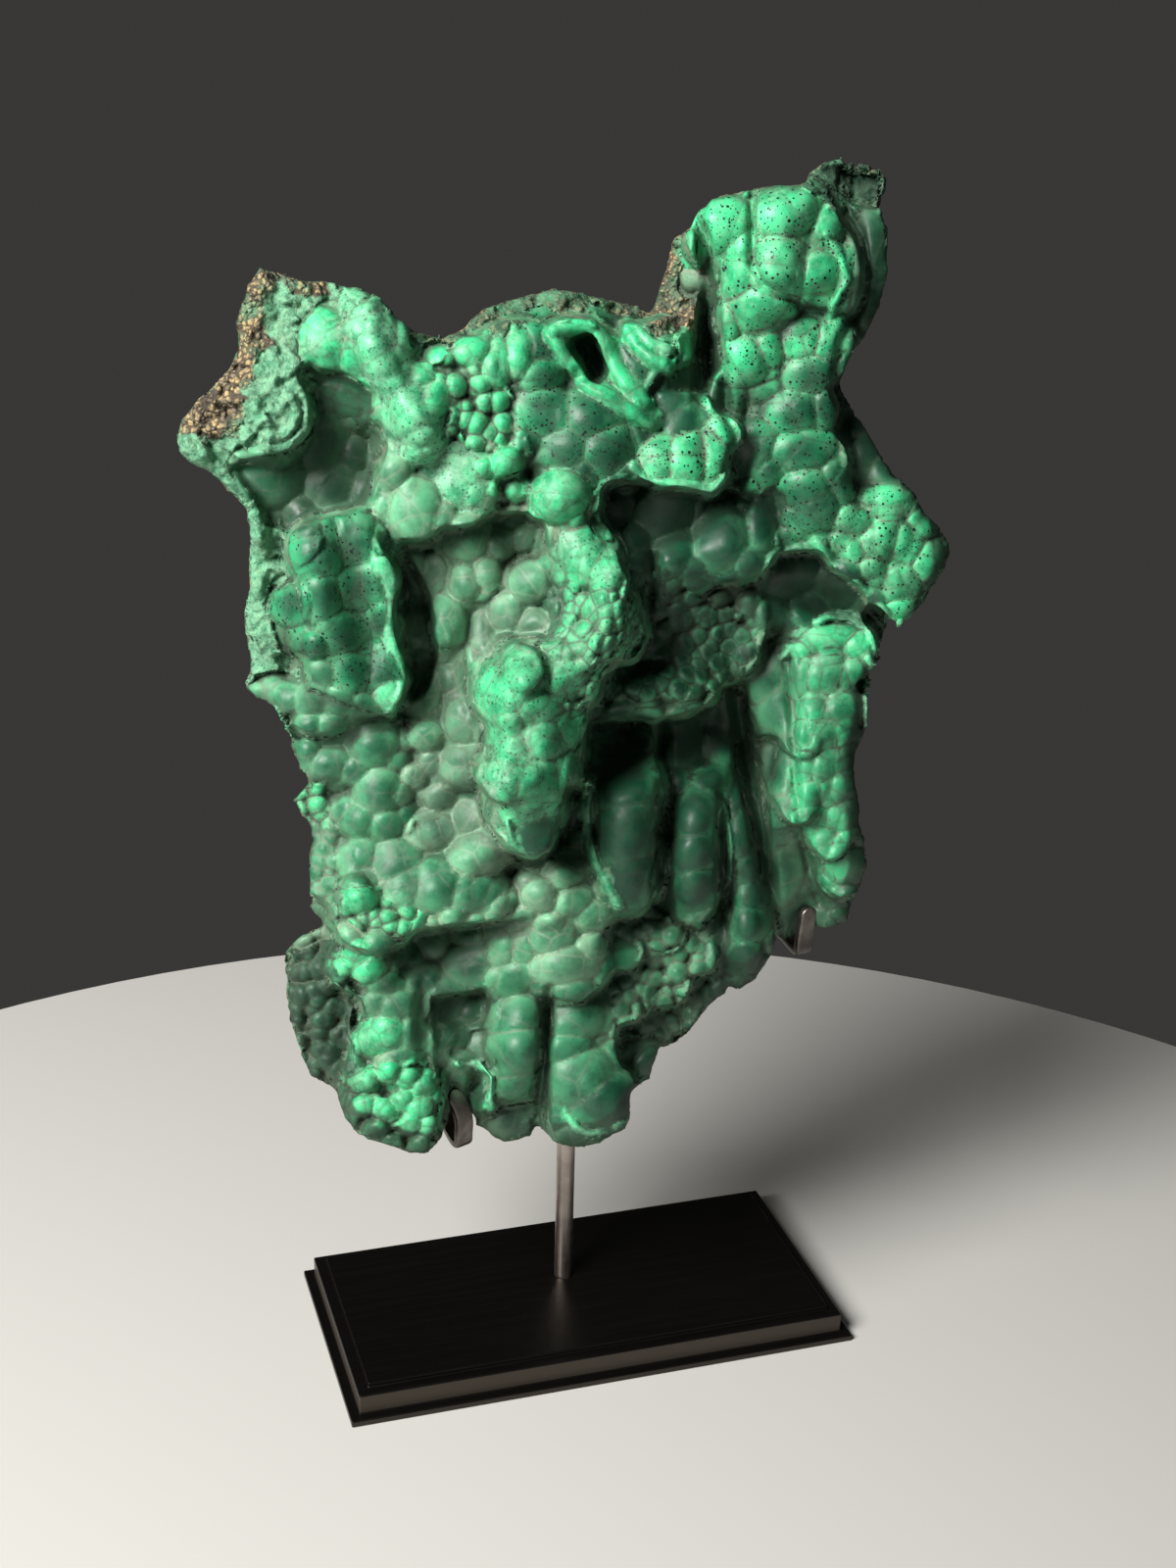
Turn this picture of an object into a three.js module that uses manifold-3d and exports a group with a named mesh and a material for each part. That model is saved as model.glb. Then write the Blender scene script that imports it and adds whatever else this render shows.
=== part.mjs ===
import * as THREE from "three";
import { SimplifyModifier } from "three/addons/modifiers/SimplifyModifier.js";
import { mergeVertices } from "three/addons/utils/BufferGeometryUtils.js";
import Module from "manifold-3d";

// Botryoidal malachite slab held upright on a stepped wood base by a steel post and two flat prongs
// All sizes are millimetres, +Z is up, and the origin is the middle of the base's underside

// Stand
const BASE_STEPS = [
  { width: 178, depth: 88.5, bottom: 0, top: 2.4 },
  { width: 171.5, depth: 82, bottom: 2.4, top: 9.6 },
  { width: 164, depth: 74.5, bottom: 9.6, top: 11.2 },
];
const POST = { x: -2.2, y: 5.8, radius: 3.175, foot: 2.4, top: 214, sides: 20 };
const FIT_GAP = 0.3;
const BAR = { width: 6.35, thickness: 3.2, bend: 4.2 };
const PRONGS = {
  left_prong: { x: -48, reach: 23.5, under: 88.5, tip: 110, arm: 101, lean: -13 },
  right_prong: { x: 70, reach: 20, under: 142, tip: 160.5, arm: 154, lean: 4 },
};

// The stone's face is laid out on an upright plane, as it is seen from one point in front of it
// A place on it is [across, up], and its depth is how far it stands proud of that plane
const VIEWPOINT = new THREE.Vector3(-195.7, -615, 461.8);
const FACE_PLANE_Y = -20;

// Slab that carries the lumps: its outline, where its edge lies, and the faces that it is between
const SLAB_BACK_Y = 2.3;
const SLAB_FRONT_Y = -12;
const SLAB_EDGE_PROUD = -10;
const SLAB_BEVEL = 3;
const ROOT_COVER = 0.5;
const SLAB_OUTLINE = [
  [-104, 371], [-88, 366], [-73, 364], [-64, 355], [-53, 350], [-41, 358], [-18, 363], [8, 357],
  [14, 377], [24, 386], [40, 390], [56, 392], [66, 398], [82, 395], [80, 384], [83, 366], [75, 343],
  [71, 333], [86, 311], [101, 293], [110, 281], [108, 272], [94, 256], [89, 238], [85, 212], [87, 195],
  [89, 180], [88, 162], [76, 160], [62, 158], [54, 138], [40, 128], [22, 114], [14, 100], [6, 88],
  [-14, 86], [-30, 92], [-38, 104], [-56, 104], [-62, 92], [-80, 97], [-88, 113], [-98, 125],
  [-102, 145], [-102, 164], [-92, 172], [-94, 200], [-96, 212], [-93, 221], [-103, 242], [-111, 251],
  [-110, 280], [-108, 301], [-127, 320], [-128, 326], [-113, 344], [-110, 360],
];

// Plates with free edges that stand off the slab: corners, proud of the front side, and thickness
const PLATES = {
  left_flap: {
    corners: [[-97, 296], [-84, 303], [-73, 301], [-66, 282], [-69, 271], [-63, 252], [-69, 240],
      [-84, 246], [-94, 252]],
    proud: 13,
    thickness: 22,
  },
  right_flap: {
    corners: [[70, 284], [97, 254], [106, 265], [112, 278], [101, 295], [88, 304], [75, 300]],
    proud: 14,
    thickness: 24,
  },
  skirt: {
    corners: [[10, 334], [24, 334], [35, 318], [35, 304], [22, 306], [7, 304], [9, 318]],
    proud: 15,
    thickness: 26,
  },
};
const PLATE_BEVEL = 3;

// Raised ground that fills the slab out under the proudest lumps, in the same form as the plates
const RAISED_GROUND = {
  crest: {
    corners: [[-62, 334], [-40, 346], [-20, 350], [4, 350], [12, 338], [8, 322], [-8, 308], [-30, 314],
      [-50, 314]],
    proud: 1,
    thickness: 12,
  },
  tongue: {
    corners: [[30, 372], [54, 386], [72, 380], [70, 345], [66, 320], [70, 300], [56, 298], [44, 316],
      [34, 340]],
    proud: 1,
    thickness: 12,
  },
  centre: {
    corners: [[-38, 194], [-36, 168], [-24, 150], [0, 150], [14, 165], [14, 190], [8, 240], [36, 270],
      [36, 286], [-14, 290], [-22, 262], [-34, 248], [-44, 224]],
    proud: 3,
    thickness: 14,
  },
  left: {
    corners: [[-84, 200], [-66, 202], [-40, 190], [-30, 176], [-50, 166], [-84, 168]],
    proud: 1,
    thickness: 12,
  },
  fingers: {
    corners: [[22, 202], [50, 206], [56, 172], [52, 142], [40, 142], [26, 165]],
    proud: -1,
    thickness: 10,
  },
  low_centre: {
    corners: [[-24, 150], [4, 150], [6, 130], [-22, 130]],
    proud: 0,
    thickness: 11,
  },
  low_left: {
    corners: [[-76, 140], [-60, 140], [-56, 118], [-58, 104], [-76, 104]],
    proud: 0,
    thickness: 11,
  },
};

// Rounded lumps: across, up, proud of the centre, half width, half height, half depth, lean in degrees
const LUMPS = {
  upper_left: [
    [-101, 331, -4, 13, 17, 10, 0], [-86, 349, -7, 13, 12, 9, 0], [-77, 334, -7, 11, 12, 9, 15],
    [-102, 308, -10, 15, 13, 8, 0], [-83, 313, -9, 13, 13, 7, 0], [-64, 305, -5, 14, 16, 10, 25],
    [-71, 349, -1, 10, 16, 11, 15], [-58, 328, 3, 12, 15, 13, 35],
  ],
  crest: [
    [-48, 339, 0, 17, 14, 14, 0], [-31, 341, 0, 16, 16, 14, 0], [-38, 321, 4, 19, 12, 13, 0],
    [-47, 305, 3, 12, 10, 13, 0], [-17, 303, 6, 13, 10, 15, 0], [-9, 320, 6, 19, 16, 15, 0],
  ],
  drape: [
    [-13, 349, 0, 14, 7, 12, 10], [4, 340, 3, 8, 19, 12, 38], [14, 347, -3, 12, 9, 10, -25],
  ],
  under_skirt: [
    [15, 295, -1, 15, 12, 11, 0], [14, 283, 2, 14, 10, 12, 0], [38, 285, 3, 16, 14, 13, 0],
    [62, 270, -6, 21, 15, 9, 0],
  ],
  tongue: [
    [30, 378, 1, 12, 13, 12, 0], [49, 382, 5, 14, 11, 13, 0], [47, 365, 6, 14, 13, 14, 0],
    [64, 368, 5, 11, 18, 14, -15], [33, 358, 1, 10, 18, 11, 0], [77, 365, -3, 9, 23, 11, 0],
    [40, 342, 2, 15, 13, 12, 0], [60, 344, 4, 16, 13, 13, 0], [55, 325, 4, 16, 12, 13, 0],
    [43, 313, 2, 11, 13, 13, 0], [61, 310, 5, 15, 12, 14, 0], [66, 295, 5, 13, 15, 14, 10],
    [78, 308, -2, 11, 19, 10, 30],
  ],
  right_flap: [
    [88, 293, 8, 13, 11, 9, 0], [81, 280, 10, 12, 9, 8, 0], [95, 270, 10, 13, 12, 8, 0],
  ],
  left_flap: [
    [-88, 290, 6, 11, 12, 9, 0], [-77, 288, 8, 9, 15, 8, 0], [-80, 268, 7, 13, 13, 9, 0],
    [-76, 253, 6, 12, 10, 10, 0],
  ],
  left_rim: [
    [-96, 272, -3, 10, 14, 9, 0], [-88, 244, -2, 15, 11, 9, 0], [-91, 226, -7, 10, 8, 8, 0],
    [-90, 210, -9, 11, 8, 8, 0], [-73, 225, -3, 13, 15, 9, 0], [-73, 207, -1, 13, 12, 10, 0],
    [-86, 191, -6, 14, 13, 9, 0],
  ],
  left_finger: [
    [-65, 188, 2, 12, 11, 12, 0], [-53, 180, 6, 15, 13, 15, 0], [-40, 178, 5, 12, 11, 14, 0],
    [-74, 173, 6, 15, 12, 15, 0], [-78, 157, 0, 13, 11, 11, 0], [-50, 153, -4, 17, 11, 9, 0],
  ],
  low_left: [
    [-94, 147, -13, 12, 27, 11, 0], [-91, 120, -12, 11, 15, 10, 0], [-68, 142, 1, 12, 11, 11, 0],
    [-69, 129, 2, 15, 11, 13, 0], [-73, 110, 0, 15, 14, 16, 0], [-61, 107, 2, 12, 15, 17, 0],
    [-66, 95, 1, 14, 11, 15, 0], [-52, 124, -3, 9, 14, 10, -30], [-41, 109, -1, 8, 14, 11, -20],
    [-31, 94, -4, 11, 11, 10, 0],
  ],
  recess: [
    [-43, 289, -5, 16, 13, 8, 0], [-51, 265, -6, 14, 19, 8, 0], [-30, 268, -3, 16, 16, 9, 0],
    [-46, 240, -3, 13, 18, 9, 0], [-54, 217, -4, 16, 18, 9, 0], [-38, 195, 3, 14, 15, 13, 0],
  ],
  central_tongue: [
    [-9, 282, 5, 14, 16, 16, 0], [-5, 263, 8, 18, 18, 19, 0], [-20, 246, 9, 18, 16, 21, 0],
    [-35, 245, 10, 11, 14, 20, 0], [-22, 225, 12, 15, 17, 22, 0], [-27, 207, 13, 14, 17, 22, 0],
  ],
  dark_roof: [
    [20, 261, 0, 23, 19, 13, 0], [38, 260, -2, 15, 22, 11, 0], [14, 240, 4, 24, 10, 15, 0],
  ],
  fingers: [
    [7, 205, 4, 14, 20, 14, 0], [8, 184, 6, 14, 21, 15, -4], [28, 211, -6, 16, 18, 8, 0],
    [31, 182, 1, 13, 27, 13, 0], [49, 187, -3, 10, 18, 10, -8], [50, 153, -1, 11, 23, 12, 0],
  ],
  centre_column: [
    [-20, 178, 4, 12, 16, 15, 0], [-6, 173, 3, 13, 16, 14, 0], [-31, 156, 0, 13, 20, 12, 0],
    [-12, 150, 5, 17, 15, 16, 0],
  ],
  low_centre: [
    [-28, 121, 4, 13, 21, 15, 0], [-8, 124, 2, 15, 18, 13, 0], [-6, 101, 5, 18, 21, 17, 0],
    [3, 95, 11, 14, 15, 14, 0], [20, 139, -4, 24, 30, 11, -35], [14, 107, -5, 11, 15, 9, 0],
  ],
  right_column: [
    [57, 236, -5, 13, 18, 9, 0], [63, 174, -6, 12, 28, 9, -6], [73, 247, 0, 18, 14, 11, -10],
    [72, 227, 2, 16, 15, 13, 0], [71, 207, 3, 14, 15, 14, 0], [83, 213, -2, 9, 24, 11, 0],
    [77, 190, 4, 13, 12, 14, 0], [83, 175, 4, 11, 15, 13, 0], [79, 159, -3, 10, 9, 9, 0],
  ],
};

// Round beads on the larger lumps: across, up, proud of the centre, radius
const BEADS = {
  low_left: [
    [-80, 117, 6, 6], [-70, 118, 9, 6], [-60, 116, 10, 6], [-57, 103, 13, 6], [-68, 103, 13, 6],
    [-78, 101, 8, 6], [-58, 92, 10, 6], [-69, 90, 9, 5],
  ],
  left_finger: [
    [-80, 180, 14, 6], [-66, 172, 17, 6], [-76, 167, 16, 6],
  ],
  central_tongue: [
    [-12, 288, 14, 8], [-1, 276, 20, 7], [4, 262, 21, 7], [-10, 254, 26, 7], [-27, 250, 28, 7],
    [-33, 214, 30, 8], [-20, 211, 30, 8], [-24, 196, 26, 9],
  ],
  recess: [
    [-67, 312, 4, 7], [-60, 300, 4, 9], [-42, 279, 3, 7], [-27, 277, 5, 8], [-52, 266, 1, 8],
    [-45, 236, 4, 8], [-60, 232, 2, 7], [-47, 220, 5, 8],
  ],
  skirt: [
    [33, 319, 14, 7], [16, 312, 15, 9], [27, 310, 15, 9],
  ],
  low_right: [
    [8, 150, 7, 7], [22, 155, 7, 7], [34, 146, 6, 7], [24, 136, 8, 8], [10, 132, 7, 8],
    [28, 124, 5, 6],
  ],
  right_column: [
    [66, 218, 13, 6], [80, 226, 9, 6], [66, 196, 14, 7], [82, 200, 11, 7], [78, 182, 14, 7],
  ],
};

// Broken rock with flat faces: the brown matrix, the snapped crest, the torn rim and the top crystal
const BROKEN_BLOCKS = [
  [-114, 331, -12, 15, 12, 11, 30], [-105, 351, -14, 9, 18, 10, 0], [-90, 361, -14, 14, 7, 9, -8],
  [-42, 352, -13, 13, 7, 10, 15], [-16, 356, -12, 17, 7, 11, 0], [18, 364, -13, 7, 15, 8, 5],
  [69, 391, -8, 13, 9, 9, 0], [-103, 272, -9, 9, 16, 10, 0], [-106, 255, -11, 8, 9, 9, 0],
  [84, 247, -8, 7, 12, 8, 0],
];

// Low swells on the back: x, z, half width, half height, half depth, with a part of each sunk in the slab
const BACK_SWELLS = [
  [-78, 318, 34, 34, 8], [-64, 230, 30, 40, 6], [-72, 150, 24, 34, 7], [58, 344, 26, 36, 9],
  [66, 262, 30, 30, 6], [60, 198, 24, 30, 7],
];

const SWELL_SUNK = 0.25;

// How much each lump is turned from the one before it, so that their facets don't line up, in radians
const LUMP_TURN = 1.3;
const BLOCK_TURN = 1.1;
const SIDE_TURN = 0.7;

// Part of the joined stone's corners that only split slivers
const SLIVER_SHARE = 0.53;

// Slit in the drape near the top: its corners, and how deep it goes
const SLIT_CORNERS = [[-13, 349], [-7, 347], [-3, 339], [-6, 337]];
const SLIT_DEPTH = 14;
const SLIT_PROUD = 16;

const COLOURS = {
  base: { color: 0x1b1918, roughness: 0.42, metalness: 0 },
  post: { color: 0x8a7f78, roughness: 0.38, metalness: 0.9 },
  left_prong: { color: 0x5a524d, roughness: 0.4, metalness: 0.85 },
  right_prong: { color: 0x5a524d, roughness: 0.4, metalness: 0.85 },
  malachite: { color: 0x2f8a5c, roughness: 0.5, metalness: 0 },
};

// Corners nearer than this are one corner
const WELD = 1e-4;

const wasm = await Module();
wasm.setup();

// Carry a place on the face plane along its line of sight to its depth
function place(across, up, proud) {
  const onPlane = new THREE.Vector3(across, FACE_PLANE_Y, up);
  return onPlane.lerp(VIEWPOINT, proud / (FACE_PLANE_Y - VIEWPOINT.y));
}

// A geometry's closed surface as a solid that can be joined and cut
function solidOf(geometry) {
  const bare = geometry.clone();
  bare.deleteAttribute("normal");
  bare.deleteAttribute("uv");
  const merged = mergeVertices(bare, WELD);
  return new wasm.Manifold(new wasm.Mesh({
    numProp: 3,
    vertProperties: new Float32Array(merged.attributes.position.array),
    triVerts: new Uint32Array(merged.index.array),
  }));
}

// A solid back as a flat-shaded geometry
function geometryOf(solid) {
  const mesh = solid.getMesh();
  const geometry = new THREE.BufferGeometry();
  geometry.setAttribute("position", new THREE.BufferAttribute(mesh.vertProperties, 3));
  geometry.setIndex(new THREE.BufferAttribute(mesh.triVerts, 1));
  geometry.computeVertexNormals();
  return geometry;
}

function joined(solids) {
  return solids.reduce((sum, solid) => sum.add(solid));
}

function meshOf(name, geometry) {
  const mesh = new THREE.Mesh(geometry, new THREE.MeshStandardMaterial(COLOURS[name]));
  mesh.name = name;
  return mesh;
}

// A box between two opposite corners
function boxBetween(low, high) {
  const size = new THREE.Vector3().subVectors(high, low);
  const geometry = new THREE.BoxGeometry(size.x, size.y, size.z);
  const middle = new THREE.Vector3().addVectors(low, high).multiplyScalar(0.5);
  return geometry.translate(middle.x, middle.y, middle.z);
}

// An outline in x and z, made thick from a front y to a back y
function upright(points, frontY, backY, bevel) {
  const shape = new THREE.Shape(points.map((point) => new THREE.Vector2(point.x, point.z)));
  const geometry = new THREE.ExtrudeGeometry(shape, {
    depth: backY - frontY - 2 * bevel,
    bevelEnabled: bevel > 0,
    bevelThickness: bevel,
    bevelSize: bevel,
    bevelOffset: -bevel,
    bevelSegments: 1,
  });
  geometry.rotateX(Math.PI / 2);
  return geometry.translate(0, backY - bevel, 0);
}

function postGeometry(grow, top) {
  const height = top - POST.foot;
  const radius = POST.radius + grow;
  const geometry = new THREE.CylinderGeometry(radius, radius, height, POST.sides);
  geometry.rotateX(Math.PI / 2);
  return geometry.translate(POST.x, POST.y, POST.foot + height / 2);
}

// Three stacked steps with a blind hole that takes the post's foot
function base() {
  const steps = BASE_STEPS.map((step) => solidOf(boxBetween(
    new THREE.Vector3(-step.width / 2, -step.depth / 2, step.bottom),
    new THREE.Vector3(step.width / 2, step.depth / 2, step.top),
  )));
  const hole = solidOf(postGeometry(FIT_GAP, POST.top).translate(0, 0, -FIT_GAP));
  return geometryOf(joined(steps).subtract(hole));
}

// The U that a prong makes in side view: up behind the stone, under it and up in front
function hookShape(prong, grow) {
  const thick = BAR.thickness + 2 * grow;
  const back = POST.y + thick / 2;
  const front = -prong.reach - thick + grow;
  const bottom = prong.under - grow;
  const top = prong.arm + BAR.width / 2 + grow;
  const tip = prong.tip + grow;
  const outer = BAR.bend + grow;
  const inner = outer - thick;
  const shape = new THREE.Shape();
  shape.moveTo(back, top);
  shape.lineTo(back - thick, top);
  shape.lineTo(back - thick, bottom + outer);
  shape.absarc(back - outer, bottom + outer, inner, 0, -Math.PI / 2, true);
  shape.lineTo(front + outer, bottom + thick);
  shape.absarc(front + outer, bottom + outer, inner, -Math.PI / 2, -Math.PI, true);
  shape.lineTo(front + thick, tip);
  shape.lineTo(front, tip);
  shape.lineTo(front, bottom + outer);
  shape.absarc(front + outer, bottom + outer, outer, Math.PI, 1.5 * Math.PI, false);
  shape.lineTo(back - outer, bottom);
  shape.absarc(back - outer, bottom + outer, outer, 1.5 * Math.PI, 2 * Math.PI, false);
  return shape;
}

// Everything below the round end of a bar whose top is at the prong's tip
function roundEnd(prong, grow) {
  const half = BAR.width / 2 + grow;
  const shape = new THREE.Shape();
  shape.moveTo(-half, prong.under - half);
  shape.lineTo(half, prong.under - half);
  shape.lineTo(half, prong.tip + grow - half);
  shape.absarc(0, prong.tip + grow - half, half, 0, Math.PI, false);
  const depth = 2 * (prong.reach + BAR.bend + POST.y);
  const geometry = new THREE.ExtrudeGeometry(shape, { depth, bevelEnabled: false, curveSegments: 6 });
  geometry.rotateX(Math.PI / 2);
  return geometry.translate(0, depth / 2, 0);
}

// A flat bar bent to a hook, with its arm to the post's side
function prongSolid(prong, grow) {
  const width = BAR.width + 2 * grow;
  const hook = new THREE.ExtrudeGeometry(hookShape(prong, grow), {
    depth: width, bevelEnabled: false, curveSegments: 4,
  });
  hook.applyMatrix4(new THREE.Matrix4().makeBasis(
    new THREE.Vector3(0, 1, 0), new THREE.Vector3(0, 0, 1), new THREE.Vector3(1, 0, 0),
  ));
  hook.translate(-width / 2, 0, 0);
  let solid = solidOf(hook).intersect(solidOf(roundEnd(prong, grow)));
  const lean = new THREE.Matrix4().makeTranslation(prong.x, 0, prong.under)
    .multiply(new THREE.Matrix4().makeRotationY(THREE.MathUtils.degToRad(prong.lean)))
    .multiply(new THREE.Matrix4().makeTranslation(0, 0, -prong.under));
  solid = solidOf(geometryOf(solid).applyMatrix4(lean));
  const side = Math.sign(prong.x - POST.x);
  const armEnd = POST.x + side * (POST.radius + FIT_GAP);
  const arm = boxBetween(
    new THREE.Vector3(Math.min(armEnd, prong.x), POST.y - BAR.thickness / 2 - grow,
      prong.arm - BAR.width / 2 - grow),
    new THREE.Vector3(Math.max(armEnd, prong.x), POST.y + BAR.thickness / 2 + grow,
      prong.arm + BAR.width / 2 + grow),
  );
  return solid.add(solidOf(arm));
}

// One lump: a rounded front whose back half is drawn out to root in the slab
function lump([across, up, proud, halfWidth, halfHeight, halfDepth, lean], ball, turn) {
  const centre = place(across, up, proud);
  const rootDepth = Math.max(halfDepth, SLAB_BACK_Y - centre.y - ROOT_COVER);
  const geometry = ball.clone().rotateZ(turn).rotateX(SIDE_TURN * turn);
  const points = geometry.attributes.position;
  for (let index = 0; index < points.count; index += 1) {
    const depth = points.getY(index) > 0 ? rootDepth : halfDepth;
    points.setY(index, depth * points.getY(index));
  }
  geometry.scale(halfWidth, 1, halfHeight);
  geometry.rotateY(THREE.MathUtils.degToRad(lean));
  return solidOf(geometry.translate(centre.x, centre.y, centre.z));
}

function slab() {
  const points = SLAB_OUTLINE.map(([across, up]) => place(across, up, SLAB_EDGE_PROUD));
  return solidOf(upright(points, SLAB_FRONT_Y, SLAB_BACK_Y, SLAB_BEVEL));
}

function platesOf(table) {
  return Object.values(table).map(({ corners, proud, thickness }) => {
    const points = corners.map(([across, up]) => place(across, up, proud - thickness / 2));
    const frontY = FACE_PLANE_Y - proud;
    return solidOf(upright(points, frontY, frontY + thickness, PLATE_BEVEL));
  });
}

function backSwells() {
  const ball = new THREE.IcosahedronGeometry(1, 1);
  return BACK_SWELLS.map(([x, z, halfWidth, halfHeight, halfDepth]) => {
    const geometry = ball.clone().scale(halfWidth, halfDepth, halfHeight);
    return solidOf(geometry.translate(x, SLAB_BACK_Y - SWELL_SUNK * halfDepth, z));
  });
}

function slit() {
  const points = SLIT_CORNERS.map(([across, up]) => place(across, up, SLIT_PROUD - SLIT_DEPTH / 2));
  const frontY = FACE_PLANE_Y - SLIT_PROUD;
  return solidOf(upright(points, frontY, frontY + SLIT_DEPTH, 0));
}

// Room in the stone for a prong, and for nothing to hang below the prong's underside
function prongRoom(prong) {
  const half = BAR.width / 2 + FIT_GAP;
  const below = boxBetween(
    new THREE.Vector3(prong.x - half, -prong.reach - 2 * BAR.bend, 0),
    new THREE.Vector3(prong.x + half, POST.y + 2 * BAR.bend, prong.under + BAR.thickness / 2),
  );
  return prongSolid(prong, FIT_GAP).add(solidOf(below));
}

// A solid with fewer triangles, once the slivers where its lumps meet are merged away
async function thinned(solid) {
  const geometry = geometryOf(solid);
  geometry.deleteAttribute("normal");
  const surplus = Math.floor(SLIVER_SHARE * geometry.attributes.position.count);
  return solidOf(await new SimplifyModifier().modify(geometry, surplus));
}

async function malachite() {
  const ball = new THREE.IcosahedronGeometry(1, 1);
  const block = new THREE.DodecahedronGeometry(1, 0);
  const beads = Object.values(BEADS).flat().map(([across, up, proud, radius]) => (
    [across, up, proud, radius, radius, radius, 0]
  ));
  const rounded = [...Object.values(LUMPS).flat(), ...beads];
  const lumps = rounded.map((row, index) => lump(row, ball, LUMP_TURN * index));
  const blocks = BROKEN_BLOCKS.map((row, index) => lump(row, block, BLOCK_TURN * index));
  const plates = [...platesOf(PLATES), ...platesOf(RAISED_GROUND)];
  let stone = joined([slab(), ...plates, ...lumps, ...blocks, ...backSwells()]);
  stone = await thinned(stone);
  stone = stone.subtract(slit());
  stone = stone.subtract(solidOf(postGeometry(FIT_GAP, POST.top + FIT_GAP)));
  for (const prong of Object.values(PRONGS)) {
    stone = stone.subtract(prongRoom(prong));
  }
  return geometryOf(stone);
}

const specimen = new THREE.Group();
specimen.add(meshOf("base", base()));
specimen.add(meshOf("post", postGeometry(0, POST.top)));
for (const [name, prong] of Object.entries(PRONGS)) {
  specimen.add(meshOf(name, geometryOf(prongSolid(prong, 0))));
}
specimen.add(meshOf("malachite", await malachite()));

export default specimen;
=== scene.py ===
import math

import bpy
import numpy as np
from mathutils import Matrix, Vector
from mathutils import noise as bumps
from mathutils.bvhtree import BVHTree


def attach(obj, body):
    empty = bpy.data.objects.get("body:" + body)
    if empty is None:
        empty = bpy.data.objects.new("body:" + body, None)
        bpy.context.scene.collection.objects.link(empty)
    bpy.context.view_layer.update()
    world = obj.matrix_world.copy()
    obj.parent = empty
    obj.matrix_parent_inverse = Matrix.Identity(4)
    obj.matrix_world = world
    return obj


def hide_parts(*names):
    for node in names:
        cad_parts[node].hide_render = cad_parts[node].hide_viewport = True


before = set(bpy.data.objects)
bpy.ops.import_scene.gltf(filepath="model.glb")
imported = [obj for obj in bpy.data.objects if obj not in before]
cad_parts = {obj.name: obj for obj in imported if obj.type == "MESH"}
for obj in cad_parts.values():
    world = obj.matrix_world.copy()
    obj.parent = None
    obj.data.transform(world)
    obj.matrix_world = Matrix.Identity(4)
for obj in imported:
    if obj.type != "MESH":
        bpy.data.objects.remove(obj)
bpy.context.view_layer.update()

MM = 0.001

# Viewpoint of the photograph, in millimetres and degrees
EYE = np.array([-195.67, -614.97, 461.82])
AZIMUTH, ELEVATION, ROLL = -17.698, 21.93, 1.488
LENS, SENSOR = 49.5, 36.0

# The stone's face is laid out on an upright plane as it is seen from the viewpoint
# A place on it is (across, up), and sight lines carry it to the stone's surface
FACE_Y = -20.0

# The map of the face: its edges, the step between its places, a distance past all of the stone,
# and how far its depths run on past the outline
WEST, EAST, FOOT, CROWN = -134.0, 120.0, 68.0, 405.0
STEP = 0.6
NEIGHBOURS = ((1, 0), (-1, 0), (0, 1), (0, -1))
BEYOND = 1500.0
OVERHANG = 4.0

# The stone's outline as it is seen, clockwise from the peak at the top left
OUTLINE = [
    (-103, 372), (-96, 371), (-84, 367), (-75, 366), (-70, 363), (-65, 357), (-60, 353), (-52, 351),
    (-47, 353), (-40, 359), (-30, 362), (-20, 364), (-12, 363), (-3, 361), (3, 361), (9, 356), (13, 368),
    (15, 377), (20, 380), (22, 384), (27, 388), (35, 390), (40, 391), (55, 392), (56, 397), (60, 399),
    (66, 400), (68, 397), (75, 396), (82, 396), (80, 385), (83, 378), (84, 365), (82, 355), (78, 347),
    (74, 341), (71, 333), (76, 325), (80, 320), (84, 314), (88, 308), (93, 303), (98, 300), (102, 292),
    (108, 287), (112, 281), (113, 277), (110, 270), (105, 262), (100, 256), (97, 254), (92, 253), (91, 243),
    (88, 238), (89, 222), (87, 217), (85, 210), (86, 203), (88, 195), (88, 188), (91, 182), (92.5, 172),
    (91, 165), (88, 158), (87, 152), (82, 150), (76, 150), (62, 144), (60, 142), (55, 134), (48, 130),
    (42, 129), (37, 124), (33, 118), (28, 114), (22, 112), (20, 106), (19, 101), (14, 99), (12.5, 95),
    (13, 88), (11, 83), (3, 80), (0, 74), (-4, 77), (-10, 79), (-18, 82), (-24, 86), (-31, 84), (-35, 87),
    (-40, 92), (-50, 92), (-58, 84), (-65, 86), (-70, 89), (-78, 93), (-84, 97), (-86, 103), (-88, 113),
    (-92, 116), (-96, 119), (-98, 125), (-100, 132), (-102, 140), (-103, 160), (-103.5, 164), (-98, 169),
    (-93, 171), (-90, 172), (-95, 178), (-95, 195), (-93, 200), (-94, 206), (-97, 210), (-99, 214),
    (-94, 219), (-98, 228), (-102, 238), (-104, 243), (-107, 245), (-112, 250), (-110, 258), (-111, 265),
    (-112, 272), (-110, 280), (-109, 297), (-110, 304), (-115, 310), (-120, 315), (-126, 318), (-129, 324),
    (-127, 330), (-122, 336), (-117, 340), (-113, 344), (-110, 350), (-111, 356), (-107, 367),
]

# Easing the solid's own lumps before new ones grow on it, in map steps and millimetres
EASE_REACH, EASE_SKIP, EASE_HOLD = 8, 3, 7.0

# Filling the solid's narrow pits: half width in map steps, the depth left, and how far in from the outline
PIT_REACH, PIT_LEFT, PIT_RIM = 8, 1.5, 12.0

# Small bays along the outline: blur in map steps, level and swing of the cut, and rows of size and share
OUTLINE_BLUR, OUTLINE_LEVEL, OUTLINE_WAVE = 3, 0.42, 0.14
OUTLINE_BAYS = ((6.0, 1.0), (2.4, 0.8))

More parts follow.
